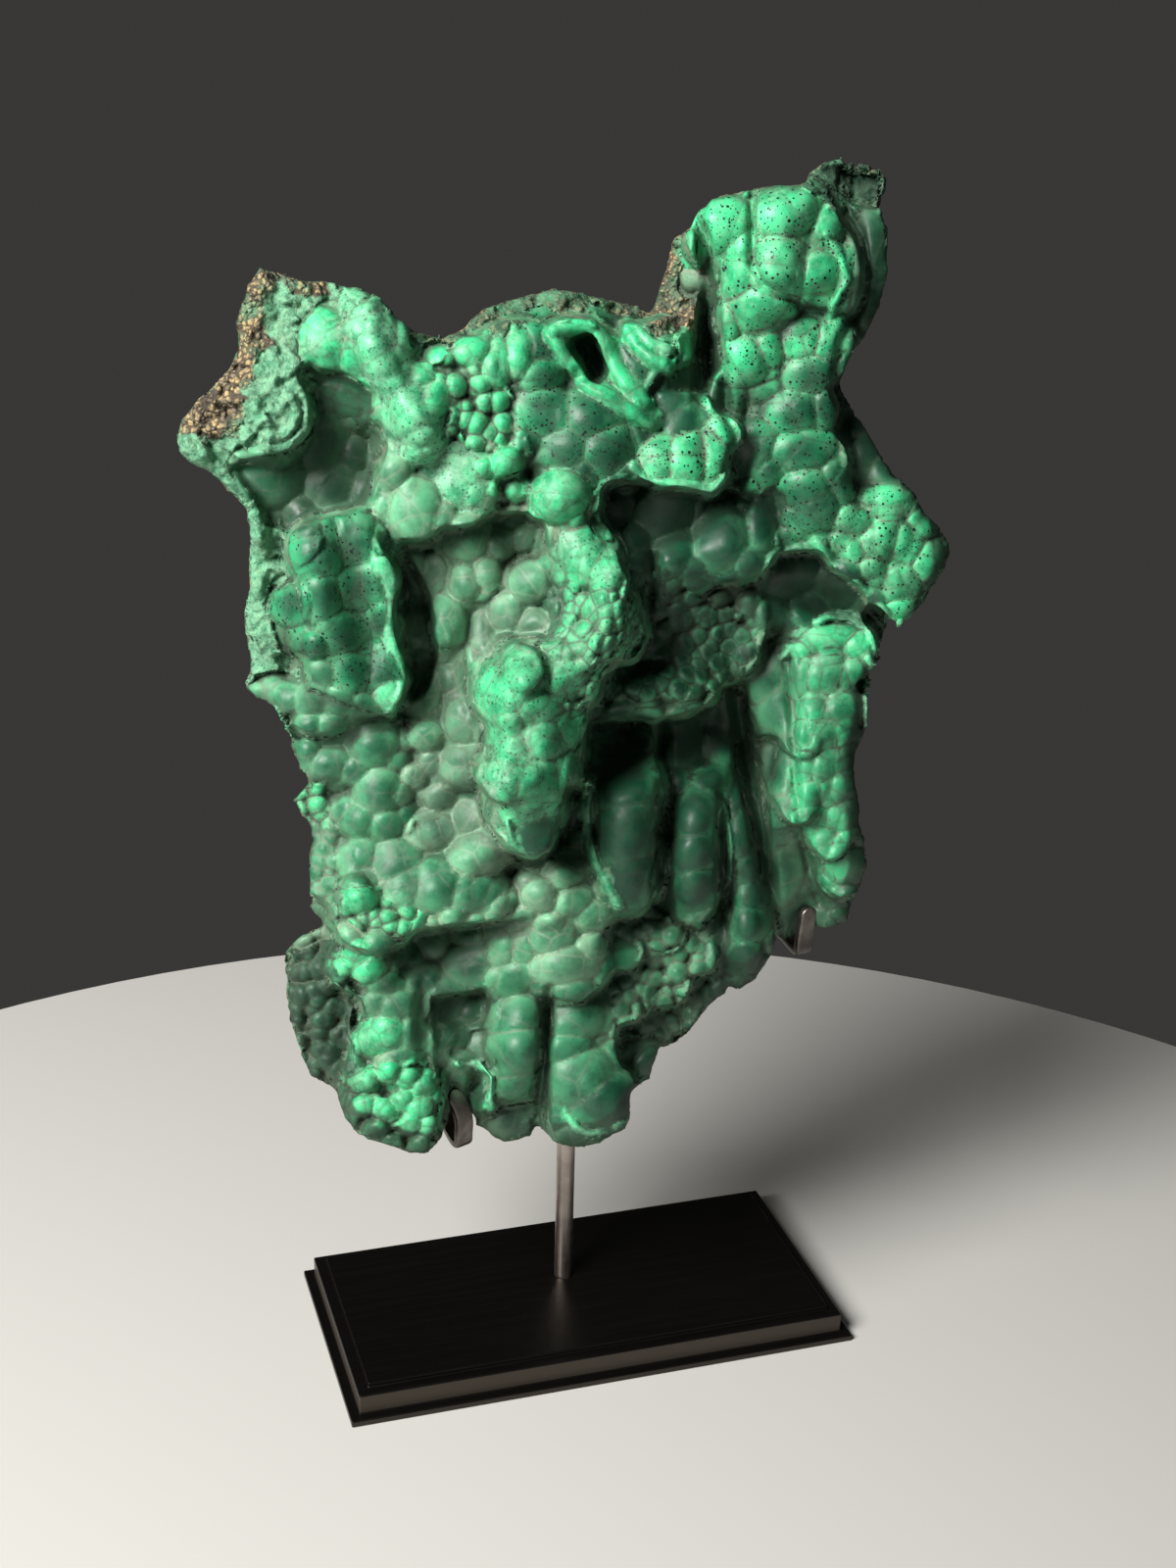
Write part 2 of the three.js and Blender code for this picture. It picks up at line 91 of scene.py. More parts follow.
# The rim of the stone: rounding of its front and its back, and its thickness inside, at the edge and growing
RIM_ROUND, BACK_ROUND = 7.0, 8.0
LEAST_THICK, EDGE_THICK, EDGE_GROWTH = 6.0, 1.0, 2.0

# The torn side between front and back: rows, bulge, and rows of rise and size of its bumps
WALL_ROWS, WALL_BULGE = 9, 1.5
WALL_BUMPS = ((1.6, 9.0), (0.9, 4.0))

# The two sheets and the side become one skin: voxel size, the reach in which points go back on the map,
# and how many triangles are left
VOXEL, ON_MAP = 0.6, 1.5
STONE_TRIANGLES = 192000

# Flanks that turn away from the eye: where they start and fade, how they are smoothed, and their cells
FLANK_FROM, FLANK_RANGE, FLANK_LEAST, FLANK_ROUNDS = 0.34, 0.2, 0.3, 8
FLANK_CELLS, FLANK_DEEPEST = 0.16, 1.4
FLANK_NEAR, FLANK_FADE = 2.0, 3.0

# Evening out steep steps of the map: rounds, share, and the slopes where it starts and over which it grows
CALM_ROUNDS, CALM_SHARE, CALM_FROM, CALM_RANGE = 5, 0.7, 2.0, 1.5

# Unevenness of the surface, as rows of size and share: of broken rock, its strength, and of the calm parts
ROCK_HILLS, ROCK_RISE = ((1.3, 0.9), (3.5, 1.0)), 1.2
CALM_HILLS = ((5.0, 0.15), (14.0, 0.6))

# Slit in the drape near the top
SLIT = [(-15, 349), (-9, 349.5), (-5.5, 344), (-3.5, 337.5), (-8, 337.5), (-11, 343)]
SLIT_DEEP = 16.0

# Finishes of the stone's parts: how green against dusty, how deep, pitted, rocky and pale they are
# How deep is partly the stone's own darker green and partly painted shade, on parts in the shade of
# overhangs, chiefly the deep, shade and flap finishes
FINISHES = {
    "fresh": (0.95, 0.12, 0.25, 0.0, 0.0),
    "pitted": (0.85, 0.0, 1.0, 0.0, 0.0),
    "flap": (0.90, 0.82, 1.0, 0.0, 0.0),
    "bright": (0.95, 0.22, 0.6, 0.0, 0.10),
    "frosted": (0.80, 0.0, 0.6, 0.0, 0.42),
    "leaf": (0.90, 0.48, 0.1, 0.0, 0.0),
    "dusty": (0.22, 0.0, 0.0, 0.0, 0.0),
    "satin": (0.50, 0.64, 0.0, 0.0, 0.0),
    "deep": (0.70, 1.0, 0.1, 0.0, 0.0),
    "shade": (0.40, 0.75, 0.0, 0.0, 0.0),
    "shell": (0.95, 0.0, 0.0, 0.0, 0.40),
    "broken": (0.30, 0.05, 0.1, 0.12, 0.60),
    "crust": (0.45, 0.75, 0.2, 0.30, 0.05),
    "matrix": (0.20, 0.20, 0.2, 1.0, 0.0),
    "back": (0.25, 0.45, 0.1, 0.75, 0.0),
    "back_green": (0.35, 0.50, 0.0, 0.15, 0.0),
    "crystal": (0.50, 0.90, 0.0, 0.02, 0.05),
}
FINISH_NAMES = list(FINISHES)
ROCKY = ("broken", "crust", "matrix", "crystal")

# Lumps, one by one: finish, height against half width, and rows of across, up, half width, half height, lean
# A row without a lean stands upright, and one of three values is round
LUMPS = {
    "corner_recess": ("shade", 0.5, [
        (-103, 312, 11, 9), (-88, 322, 8, 9), (-85, 310, 8, 7), (-94, 303, 5), (-95, 318, 5),
        (-79, 318, 5), (-76, 308, 5), (-92, 297, 4),
    ]),
    "corner_domes": ("fresh", 0.38, [
        (-86, 349, 6, 9), (-79, 346, 4, 6, -10), (-79, 334, 9, 6, 20), (-75, 329, 4, 4),
    ]),
    "ridge": ("frosted", 0.24, [
        (-75, 361, 5, 6), (-73, 351, 6, 9, -12), (-68, 341, 6, 9, -28), (-62, 331, 7, 8, -30),
        (-47, 307, 9, 8), (-47, 300, 7, 4), (-56, 312, 3), (-61, 318, 3), (-58, 322, 5, 4),
    ]),
    "crest": ("fresh", 0.45, [
        (-43, 347, 5, 4), (-36, 343, 4, 6), (-30, 345, 4, 6), (-55, 333, 4, 5, 20), (-58, 340, 3),
    ]),
    "caps": ("fresh", 0.75, [
        (-33, 313, 5), (-30, 306, 4), (-17, 303, 9, 8), (-24, 298, 3), (-12, 296, 3), (-40, 312, 3),
        (-37, 306, 2.5),
    ]),
    "drape": ("flap", 0.28, [
        (-20, 328, 9, 8), (-8, 328, 10, 9), (-2, 316, 9, 8), (-16, 317, 8, 8), (-22, 338, 6, 5),
        (-10, 310, 5), (-20, 309, 4), (1, 306, 5, 4), (-26, 320, 4),
    ]),
    "neck": ("deep", 0.25, [(15, 331, 7, 9), (20, 323, 7, 6), (10, 322, 5, 6)]),
    "skirt": ("pitted", 0.3, [(13, 313, 7, 8), (23, 313, 8, 8), (30, 314, 6, 8), (34, 320, 6, 5)]),
    "under_skirt": ("deep", 0.45, [
        (16, 296, 9, 8), (0, 298, 5), (7, 289, 6, 5), (9, 283, 4), (20, 284, 7, 7), (34, 286, 9, 10),
        (27, 279, 5), (44, 279, 5), (48, 292, 5, 9), (58, 275, 9, 8), (75, 270, 8, 8), (66, 262, 7, 6),
        (86, 262, 5, 6), (53, 262, 5),
    ]),
    "lobe": ("pitted", 0.4, [
        (29, 381, 9, 8), (22, 376, 4, 7), (49, 384, 9, 7), (48, 367, 9, 9), (62, 366, 6, 7),
        (62, 357, 5, 4), (64, 379, 4, 8, 20), (70, 367, 3, 9, 15), (36, 368, 5, 12), (43, 355, 11, 7, 10),
        (33, 352, 5, 6), (38, 341, 9, 7), (47, 345, 5, 6), (58, 347, 8, 6), (66, 346, 6, 7),
    ]),
    "lobe_low": ("flap", 0.36, [
        (62, 336, 9, 6), (70, 338, 4, 5), (57, 325, 9, 6), (66, 326, 5, 6), (43, 315, 7, 8, 20),
        (60, 313, 10, 6), (49, 307, 4, 4), (62, 297, 10, 10, 10), (72, 303, 5, 7, -30), (55, 286, 4),
    ]),
    "lobe_side": ("shade", 0.25, [
        (78, 372, 6, 14), (79, 356, 5, 9, -10), (75, 345, 4, 5), (88, 306, 6, 5, 30), (80, 312, 6, 8, 30),
        (77, 321, 5, 6, 30),
    ]),
    "right_flap": ("pitted", 0.3, [
        (88, 296, 8, 6), (79, 290, 6, 5, 20), (77, 281, 6, 5, 40), (88, 283, 7, 6, 20), (86, 272, 6, 6),
        (97, 281, 6, 6), (95, 269, 7, 6, 40), (105, 276, 5, 6), (97, 260, 5, 5), (103, 288, 5, 5),
    ]),
    "flake": ("fresh", 0.28, [(72, 254, 13, 5, -10), (62, 250, 5, 4), (84, 250, 5, 5)]),
    "right_column": ("leaf", 0.26, [
        (62, 240, 5, 8), (72, 240, 7, 6), (81, 239, 5, 5), (68, 230, 6, 5), (78, 229, 6, 5),
        (66, 221, 5, 5), (73, 219, 6, 5), (80, 220, 4, 5), (66, 209, 6, 5), (75, 209, 6, 6),
        (82, 210, 4, 6), (69, 199, 6, 5), (79, 200, 7, 6), (70, 191, 6, 5), (82, 191, 6, 6),
        (75, 181, 5, 6, 20), (84, 176, 7, 10), (77, 170, 5, 6), (82, 162, 6, 4),
    ]),
    "right_strip": ("satin", 0.16, [
        (53, 240, 6, 7), (57, 230, 6, 9), (58, 210, 5, 10), (58, 190, 5, 10), (62, 172, 6, 10),
        (62, 148, 4),
    ]),
    "cave_fingers": ("deep", 0.36, [
        (25, 222, 6, 9), (38, 224, 6, 10), (22, 209, 6, 5), (35, 208, 6, 5), (30, 196, 9, 10),
        (30, 183, 10, 9), (31, 170, 9, 9), (44, 200, 4, 9), (48, 188, 6, 11, -8), (51, 175, 6, 6),
        (52, 165, 6, 6), (51, 155, 7, 7), (49, 143, 7, 7), (42, 149, 4, 10, 5), (38, 158, 5, 5),
        (46, 132, 6, 4),
    ]),
    "dark_finger": ("deep", 0.28, [(6, 208, 11, 10), (7, 192, 11, 14), (8, 176, 9, 12)]),
    "tongue": ("bright", 0.3, [
        (-10, 285, 8, 8), (-2, 281, 6, 6), (-17, 281, 4), (-36, 244, 8, 9), (-28, 247, 7, 9, -10),
        (-15, 246, 6, 5), (-22, 237, 6, 5), (-34, 232, 6, 5), (-20, 226, 7, 6), (-30, 223, 6, 5),
        (-12, 229, 5, 5), (-33, 214, 8, 7), (-22, 212, 9, 7), (-13, 214, 5, 6), (-25, 202, 9, 5),
    ]),
    "tongue_tip": ("deep", 0.28, [(-22, 194, 9, 8)]),
    "recess": ("dusty", 0.6, [
        (-67, 312, 5), (-60, 301, 8, 10), (-53, 298, 5, 7), (-45, 292, 8, 7), (-52, 265, 7, 10),
        (-46, 278, 5, 6), (-39, 281, 4, 5), (-26, 277, 6, 7), (-21, 283, 4), (-33, 268, 6, 6),
        (-25, 264, 5, 5), (-35, 290, 5), (-28, 291, 4), (-45, 250, 4, 9), (-46, 235, 6, 8),
        (-47, 220, 7, 7), (-57, 231, 5, 5), (-56, 222, 4), (-61, 218, 4), (-66, 213, 4), (-53, 210, 5),
        (-56, 200, 8, 7), (-45, 203, 5, 6), (-41, 190, 10, 8), (-38, 207, 4, 8), (-58, 245, 5, 8),
        (-60, 262, 5, 9), (-40, 262, 4, 7), (-62, 282, 5, 7), (-55, 281, 4, 6),
    ]),
    "flap_edge": ("shell", 0.30, [(-69, 285, 4, 10, -17), (-66, 261, 4, 11, -17), (-69, 246, 5, 5, 20)]),
    "left_flap": ("flap", 0.24, [
        (-89, 291, 8, 9), (-79, 293, 6, 8, -10), (-88, 277, 6, 7), (-77, 279, 7, 7), (-81, 265, 8, 7),
        (-72, 268, 4, 6), (-79, 254, 8, 7), (-71, 253, 6, 8),
    ]),
    "left_cells": ("satin", 0.44, [
        (-92, 246, 5), (-84, 244, 5), (-77, 241, 5), (-89, 253, 5, 4), (-100, 247, 4), (-86, 236, 5),
        (-79, 233, 4), (-93, 237, 4), (-95, 229, 5), (-87, 225, 6, 5), (-80, 222, 4), (-74, 230, 7, 7),
        (-72, 214, 7, 7), (-79, 205, 5, 5), (-70, 203, 5), (-79, 193, 6, 6), (-67, 191, 8, 7),
        (-78, 186, 5),
    ]),
    "left_finger": ("satin", 0.36, [
        (-63, 183, 7, 7), (-54, 182, 9, 9), (-43, 179, 8, 8), (-37, 176, 5, 6),
    ]),
    "pocket": ("flap", 0.6, [(-97, 275, 6, 6), (-92, 262, 5, 4)]),
    "left_cluster": ("fresh", 0.5, [
        (-78, 180, 5, 5), (-80, 160, 5), (-76, 155, 5, 5), (-84, 157, 3), (-72, 131, 8, 6),
        (-43, 112, 6, 5, 30), (-39, 103, 4, 6, 20),
    ]),
    "left_stem": ("satin", 0.42, [
        (-70, 148, 5, 4), (-67, 141, 7, 5), (-74, 142, 4), (-62, 130, 5, 6), (-66, 122, 6, 3),
        (-54, 128, 3.5), (-50, 122, 3.5), (-46, 117, 4),
    ]),
    "low_cluster": ("fresh", 0.7, [
        (-78, 115, 4), (-70, 117, 4), (-64, 114, 4), (-59, 110, 4), (-66, 106, 4), (-60, 103, 4.5),
        (-63, 97, 4), (-57, 95, 4), (-75, 96, 4), (-70, 90, 4), (-60, 88, 4), (-79, 106, 4),
        (-72, 104, 4),
    ]),
    "smooth_column": ("shade", 0.34, [
        (-52, 140, 7, 9), (-50, 127, 5, 8, 20), (-44, 152, 7, 7), (-58, 148, 6, 5), (-30, 93, 6, 6),
        (-24, 90, 4), (-34, 99, 4, 6),
    ]),
    "low_domes": ("satin", 0.46, [
        (-28, 131, 9, 8), (-28, 118, 10, 11), (-28, 107, 8, 6), (-30, 145, 7, 6), (-10, 138, 7, 5),
        (-8, 128, 9, 8), (-11, 117, 8, 7), (-7, 105, 13, 11), (-14, 92, 6, 6), (-8, 84, 7, 5),
        (4, 83, 6, 4), (0, 78, 3), (18, 108, 6, 5), (14, 100, 5, 4),
    ]),
    "low_cap": ("deep", 0.36, [(3, 96, 12, 11)]),
    "centre_column": ("dusty", 0.56, [
        (-21, 174, 6, 6), (-12, 181, 7, 6), (-9, 170, 6, 6), (-28, 166, 5, 5), (-34, 172, 4),
        (-17, 159, 9, 7), (-3, 164, 6, 6), (-26, 156, 5, 6), (-12, 148, 12, 7), (-3, 153, 6, 6),
        (-33, 156, 5, 6), (-35, 146, 4), (2, 176, 4, 6),
    ]),
}

# Free edges, lips and rims as rounded cords along the stone: finish, radius, places
EDGES = {
    "right_flap": ("shell", 1.6, [(66, 284), (73, 276.5), (83, 268), (90, 261), (97, 254)]),
    "skirt_hem": ("shell", 1.7, [(6, 311), (10, 307), (17, 305), (26, 303.6), (31, 301.5), (35.5, 306)]),
    "flake_rim": ("shell", 1.5, [(58, 248), (64, 256), (72, 260), (80, 259), (86, 255), (90, 247)]),
    "side_rim": ("shell", 1.4, [(87, 245), (90, 240), (88, 232), (89, 222)]),
    "dark_finger": ("shell", 1.7, [(-5, 212), (-6.5, 203), (-6, 193), (-3, 183), (2, 174), (5.5, 167)]),
    "tongue_tip": ("shell", 1.2, [(-32, 200), (-30, 193), (-26.5, 188)]),
    "left_lip": ("fresh", 2.4, [(-20, 350.5), (-15.5, 344), (-10, 338)]),
    "right_lip": ("fresh", 2.8, [
        (-19, 351.5), (-15, 353.5), (-9, 353), (-4.5, 348), (-1, 340), (5, 333), (12, 326),
    ]),
    "low_fold": ("fresh", 2.9, [(-10, 337), (-5, 333.5), (2, 329), (11.5, 324)]),
    "ribbon": ("fresh", 2.5, [(2.5, 352), (5.5, 347), (11, 342), (17, 339.5), (21, 343), (20, 348)]),
    "ribbon_fold": ("shell", 1.9, [(5, 352), (9.5, 347), (16, 345)]),
    "crystal_left": ("crystal", 1.5, [(55, 392.5), (62, 389.5), (66.5, 384)]),
    "crystal_top": ("crystal", 1.2, [
        (60, 397), (65, 400), (67, 397.5), (74, 396), (81.5, 396.5), (80.5, 391), (80, 384),
    ]),
    "lobe_fold": ("pitted", 1.5, [(63, 377), (68, 371.5), (71, 364), (66.5, 355.5), (65, 349)]),
    "left_rim": ("broken", 3.4, [
        (-125, 322), (-119, 316), (-111, 308), (-107, 300), (-107, 290), (-109, 280),
    ]),
    "left_sheath": ("shell", 1.3, [(-103, 243), (-100, 234), (-98, 228), (-96, 222)]),
    "low_crescent": ("shell", 1.4, [(-47, 117), (-41, 116), (-37, 110), (-37, 103), (-36, 98)]),
    "low_cap": ("shell", 1.4, [(-5, 107), (-10, 101), (-11, 93), (-6, 86), (-1, 83), (5, 84), (11, 87)]),
}

# The broken disc at the top left shows raised arcs: middle, radii and thickness, turn from and to, and points
DISC = (-101, 331)
DISC_ARCS = ((10.5, 1.5), (7.0, 1.2))
DISC_TURN = (-100, 50)
DISC_POINTS = 12

# Cells of the stone's skin in three sizes, millimetres across, and the gap from a cell's middle to its rim
LARGE, MIDDLE, SMALL = 0, 1, 2
CELL_SIZES = (17.0, 9.0, 5.0)
CELL_REACH = 0.62

# A cell's dome as part of a ball, against the cell's size, and the steps and tilts of broken cells
DOME_RADIUS, DOME_LEVEL, DOME_SPAN, DOME_LEAST = 0.85, 0.6, 0.25, 0.01
FACET_STEP, FACET_TILT = 1.6, 2.6

# The back's cells: which are broken, height against size when broken and when round, blur, and bare flats
BACK_BROKEN, BACK_FACET, BACK_DOME, BACK_BLUR, BACK_BARE = 0.5, 0.09, 0.13, 2, -0.5

# Zones of the face, the later over the earlier: finish, cell size, cell height against size, corners
ZONES = {
    "rest_of_face": ("dusty", MIDDLE, 0.30, []),
    "left_side": ("satin", MIDDLE, 0.26, [
        (-114, 252), (-74, 248), (-62, 222), (-60, 200), (-74, 178), (-97, 174), (-101, 214),
    ]),
    "left_hem": ("satin", SMALL, 0.28, [(-98, 204), (-80, 204), (-78, 178), (-98, 174)]),
    "left_field": ("deep", SMALL, 0.36, [
        (-106, 166), (-92, 172), (-84, 168), (-78, 150), (-78, 125), (-86, 110), (-96, 112), (-104, 128),
    ]),
    "left_stem": ("satin", MIDDLE, 0.26, [
        (-80, 162), (-40, 160), (-40, 98), (-52, 98), (-54, 118), (-80, 122),
    ]),
    "low_cluster": ("fresh", SMALL, 0.40, [
        (-90, 119), (-54, 119), (-51, 90), (-60, 82), (-82, 92), (-90, 104),
    ]),
    "bright_cluster": ("fresh", SMALL, 0.34, [
        (-85, 177), (-72, 184), (-61, 178), (-60, 166), (-74, 162), (-85, 167),
    ]),
    "rim_cluster": ("fresh", SMALL, 0.40, [(-101, 207), (-99, 218), (-88, 218), (-83, 210), (-90, 203)]),
    "low_centre": ("satin", LARGE, 0.12, [
        (-40, 150), (16, 150), (22, 112), (14, 78), (-20, 78), (-40, 96),
    ]),
    "low_right": ("satin", SMALL, 0.34, [
        (0, 168), (16, 166), (30, 160), (42, 142), (44, 128), (30, 114), (18, 110), (12, 120), (6, 130),
        (4, 146),
    ]),
    "cave": ("deep", MIDDLE, 0.20, [
        (-4, 236), (48, 238), (57, 250), (58, 170), (58, 128), (42, 126), (42, 160), (20, 165), (-4, 198),
    ]),
    "right_strip": ("satin", LARGE, 0.06, [
        (50, 248), (60, 248), (66, 190), (76, 148), (60, 144), (56, 170), (52, 210),
    ]),
    "right_column": ("leaf", MIDDLE, 0.20, [
        (58, 250), (92, 250), (96, 150), (76, 148), (66, 190), (60, 225),
    ]),
    "dark_beads": ("deep", SMALL, 0.26, [(12, 276), (48, 274), (52, 250), (40, 238), (2, 234), (6, 256)]),
    "under_skirt": ("deep", MIDDLE, 0.26, [
        (-4, 304), (40, 304), (66, 284), (98, 262), (90, 248), (56, 258), (12, 276), (0, 290),
    ]),
    "tongue": ("bright", MIDDLE, 0.20, [
        (-44, 254), (-26, 257), (-12, 240), (2, 246), (-2, 226), (-8, 205), (-16, 186), (-30, 186),
        (-40, 204), (-42, 226),
    ]),
    "tongue_beads": ("bright", SMALL, 0.36, [
        (-23, 276), (-16, 293), (4, 290), (14, 278), (9, 256), (4, 244), (-14, 236), (-27, 246),
        (-22, 262),
    ]),
    "crest_dust": ("dusty", SMALL, 0.26, [
        (-54, 318), (-28, 334), (-16, 340), (-20, 304), (-34, 302), (-52, 308),
    ]),
    "crest_cells": ("fresh", SMALL, 0.34, [
        (-62, 332), (-52, 347), (-40, 352), (-24, 354), (-22, 336), (-34, 318), (-50, 318),
    ]),
    "drape": ("flap", LARGE, 0.10, [
        (-28, 352), (4, 354), (26, 350), (26, 322), (8, 324), (8, 305), (-26, 307),
    ]),
    "drape_hem": ("fresh", SMALL, 0.30, [
        (-28, 312), (-4, 308), (8, 309), (7, 300), (-10, 299), (-27, 301),
    ]),
    "skirt": ("pitted", LARGE, 0.10, [(3, 328), (37, 328), (39, 303), (3, 303)]),
    "lobe": ("pitted", LARGE, 0.07, [
        (14, 384), (30, 394), (58, 396), (74, 388), (77, 372), (72, 352), (74, 336), (84, 314),
        (100, 302), (68, 284), (55, 288), (40, 300), (36, 325), (27, 342), (26, 366),
    ]),
    "right_flap": ("pitted", MIDDLE, 0.12, [(67, 285), (84, 302), (100, 304), (118, 282), (98, 250)]),
    "lobe_side": ("shade", LARGE, 0.10, [
        (75, 386), (90, 388), (90, 356), (80, 343), (75, 333), (92, 308), (104, 300), (94, 299),
        (78, 316), (68, 333), (72, 350), (76, 366),
    ]),
    "left_flap": ("flap", LARGE, 0.09, [
        (-98, 301), (-76, 305), (-64, 282), (-61, 250), (-70, 238), (-84, 247), (-92, 262), (-96, 280),
    ]),
    "ridge": ("frosted", MIDDLE, 0.18, [
        (-80, 368), (-70, 366), (-62, 345), (-50, 322), (-40, 310), (-46, 297), (-58, 308), (-68, 326),
        (-78, 345),
    ]),
    "corner": ("broken", SMALL, 0.26, [
        (-106, 372), (-80, 366), (-79, 356), (-90, 342), (-90, 322), (-100, 316), (-120, 316),
        (-106, 345),
    ]),
    "left_rim": ("broken", SMALL, 0.30, [
        (-118, 250), (-97, 248), (-93, 262), (-95, 284), (-100, 302), (-112, 312), (-124, 318),
        (-118, 300),
    ]),
    "ochre": ("matrix", SMALL, 0.30, [
        (-134, 318), (-124, 338), (-116, 346), (-114, 360), (-108, 378), (-82, 374), (-84, 364),
        (-94, 363), (-100, 365), (-102.5, 358), (-102, 353), (-106, 346), (-106.5, 334), (-111.5, 327),
        (-120, 323),
    ]),
    "crest": ("crust", SMALL, 0.30, [
        (-72, 366), (-60, 352), (-52, 350), (-40, 352), (-24, 355), (-10, 358), (8, 352), (12, 358),
        (4, 366), (-20, 370), (-40, 366),
    ]),
    "spike": ("matrix", SMALL, 0.30, [
        (9, 350), (11, 368), (13, 384), (21, 384), (24, 372), (23, 356), (20, 347),
    ]),
    "top": ("crystal", MIDDLE, 0.40, [(54, 390), (56, 404), (86, 402), (84, 386), (70, 384)]),
}

# How a large form falls off from its middle: window against its half size, fall and power
FORM_REACH, FORM_FALL, FORM_POWER = 2.2, 1.2, 1.5

# Large forms pressed into the eased solid or standing out of it:
# across, up, half width, half height, lean, and how far it stands out
FORMS = [
    (6, 221, 13, 11, 0, -18), (31, 222, 14, 11, 0, -10), (50, 202, 3.5, 42, -13, -11),
    (41, 178, 2.5, 22, -4, -8), (30, 181, 7, 21, 0, 4), (49, 162, 6, 32, -9, 4), (6, 192, 11, 25, 0, 6),
    (19.5, 188, 3, 26, 0, -10), (18, 292, 18, 9, 0, -6), (-19, 98, 3, 14, 0, -7),
    (-40, 108, 4, 12, 20, -7), (-18, 124, 2.5, 14, 0, -4), (24, 126, 7, 14, -25, -8),
    (26, 345, 3, 16, 0, -10), (38, 306, 4, 12, 30, -6), (-59, 135, 3, 14, 0, -5),
    (8, 247, 10, 2.5, -5, -8), (70, 264, 18, 6, 20, -6), (-6, 268, 13, 24, 8, 6), (0, 263, 7, 26, 12, 6),
    (30, 258, 18, 13, 0, -7), (-27, 224, 13, 32, 12, 10), (-34, 240, 9, 14, 0, 3),
    (-5, 108, 15, 26, -10, 4), (-14, 163, 17, 20, 0, 3), (-48, 99, 5, 13, -12, -6),
    (70, 151, 4, 11, 4, -4), (-28, 121, 10, 18, 0, 4), (-77, 272, 5, 26, -8, -4), (-91, 277, 7, 24, 0, 4),
    (-84, 246, 8, 7, 0, 2), (-75, 355, 6, 11, -12, 3), (-68, 340, 6, 11, -28, 4),
    (-59, 325, 6, 10, -35, 4), (48, 372, 18, 18, 0, 4), (92, 279, 14, 14, 0, 3),
]

# Places that are sunk behind a clear edge: depth and corners
SUNK = {
    "corner_recess": (8.0, [
        (-93, 342), (-90, 344.5), (-88, 342), (-81, 340.5), (-72.5, 336), (-73.5, 328.5), (-70, 322.5),
        (-72.5, 310.5), (-76, 304), (-86.5, 301.5), (-97.5, 297.5), (-104, 300), (-107.5, 308.5),
        (-113, 316.5), (-101.5, 318.5), (-94.5, 323), (-92, 327.5), (-91.5, 337.5),
    ]),
    "crystal": (11.0, [(66.5, 397), (72.5, 395.5), (79, 395), (79, 384.5), (70, 387), (66, 392)]),
    "flap_gap": (10.0, [
        (-73, 297), (-65, 290), (-59, 280), (-56, 269), (-55, 257), (-57, 247), (-62, 243), (-62.5, 251),
        (-63.5, 261), (-62.5, 275), (-66, 286),
    ]),
    "spike_gap": (8.0, [
        (22, 384), (26, 378), (29, 366), (31, 350), (31, 338), (27, 336), (25, 350), (24, 366),
    ]),
}

# Long seams between the large forms: depth, half width and places
SEAMS = {
    "lobe": (3.0, 1.3, [
        (39.3, 392), (39.3, 379.5), (40, 370), (44, 363), (52, 359), (58, 355.5), (64.5, 354.7),
    ]),
    "lobe_right": (3.0, 1.6, [(66, 386), (73, 377), (76.5, 366), (75, 356), (70, 346), (69, 336)]),
    "lobe_left": (4.0, 1.8, [(30, 348), (33, 338), (34, 326), (38, 318), (37, 306)]),
    "right_column": (2.5, 1.6, [(59, 246), (62, 226), (64, 206), (67, 190), (72, 172), (76, 160)]),
    "tongue_right": (5.0, 2.2, [
        (13, 282), (12.5, 268), (9, 256), (4, 246), (-3, 236), (-7, 222), (-12, 206), (-14, 192),
    ]),
    "tongue_left": (1.6, 2.0, [(-24, 262), (-34, 257), (-44, 250), (-44, 238)]),
    "low_dome": (3.0, 1.6, [(-17, 140), (-18, 124), (-19, 108), (-20, 94)]),
}

# Places where prongs and post touch the stone stay bare: low and high corners
BARE_FRONT = [(-56, 84, -40, 114), (63, 138, 77, 164)]
BARE_BACK = [(-14, 60, 10, 222), (-60, 90, 0, 112), (0, 144, 80, 166)]

# What each point of the stone carries for its material, first the five values of its finish
MARKS = ("green", "deep", "pits", "rock", "pale", "crease", "hollow", "dip", "tint", "lump", "layer", "rough",
         "rim", "steep")

# The same for the flanks and sides, away from the front and back
PLAIN_RIM = 0.6
# Their steep value gives the flanks a little painted shade
FLANK_LOOK = {
    "green": 0.45, "deep": 0.55, "pits": 0.0, "rock": 0.12, "pale": 0.0, "crease": 0.0, "hollow": 0.5,
    "dip": 0.5, "tint": 0.0, "lump": 0.0, "layer": 0.5, "rough": 0.0, "rim": PLAIN_RIM, "steep": 0.25,
}

# A height that is always under another
BURIED = -9.0

# Lumps are spread and lifted a little so that they stand out of the skin's cells, which show on them
CAP_SPREAD, CAP_LIFT, CAP_WINDOW, CAP_LIMIT = 1.12, 0.9, 1.4, 1.8
CAP_SKIN = {"satin": 0.22, "deep": 0.12, "shade": 0.12, "dusty": 0.15, "fresh": 0.20, "bright": 0.28}
CAP_SKIN_ELSE = 0.42

# Cords against their radius: window, reach, rise and power, how they bridge to nearer ground, lift and swing
CORD_WINDOW, CORD_REACH, CORD_RISE, CORD_POWER = 3, 1.35, 1.1, 1.5
CORD_LOOK, CORD_BRIDGE, CORD_LIFT = range(-4, 5, 2), 2.2, 0.4
CORD_SWING, CORD_SWING_SIZE = 0.22, 5.0

# Creases between cells and round lumps, in millimetres
CREASE_WIDE, CREASE_SOFT, CREASE_FADE = 0.7, 0.45, 0.35
CREASE_SHARP = {"fresh": 0.75, "pitted": 0.85, "flap": 0.85, "frosted": 0.7}
CREASE_SHARP.update(dict.fromkeys(ROCKY, 0.0))
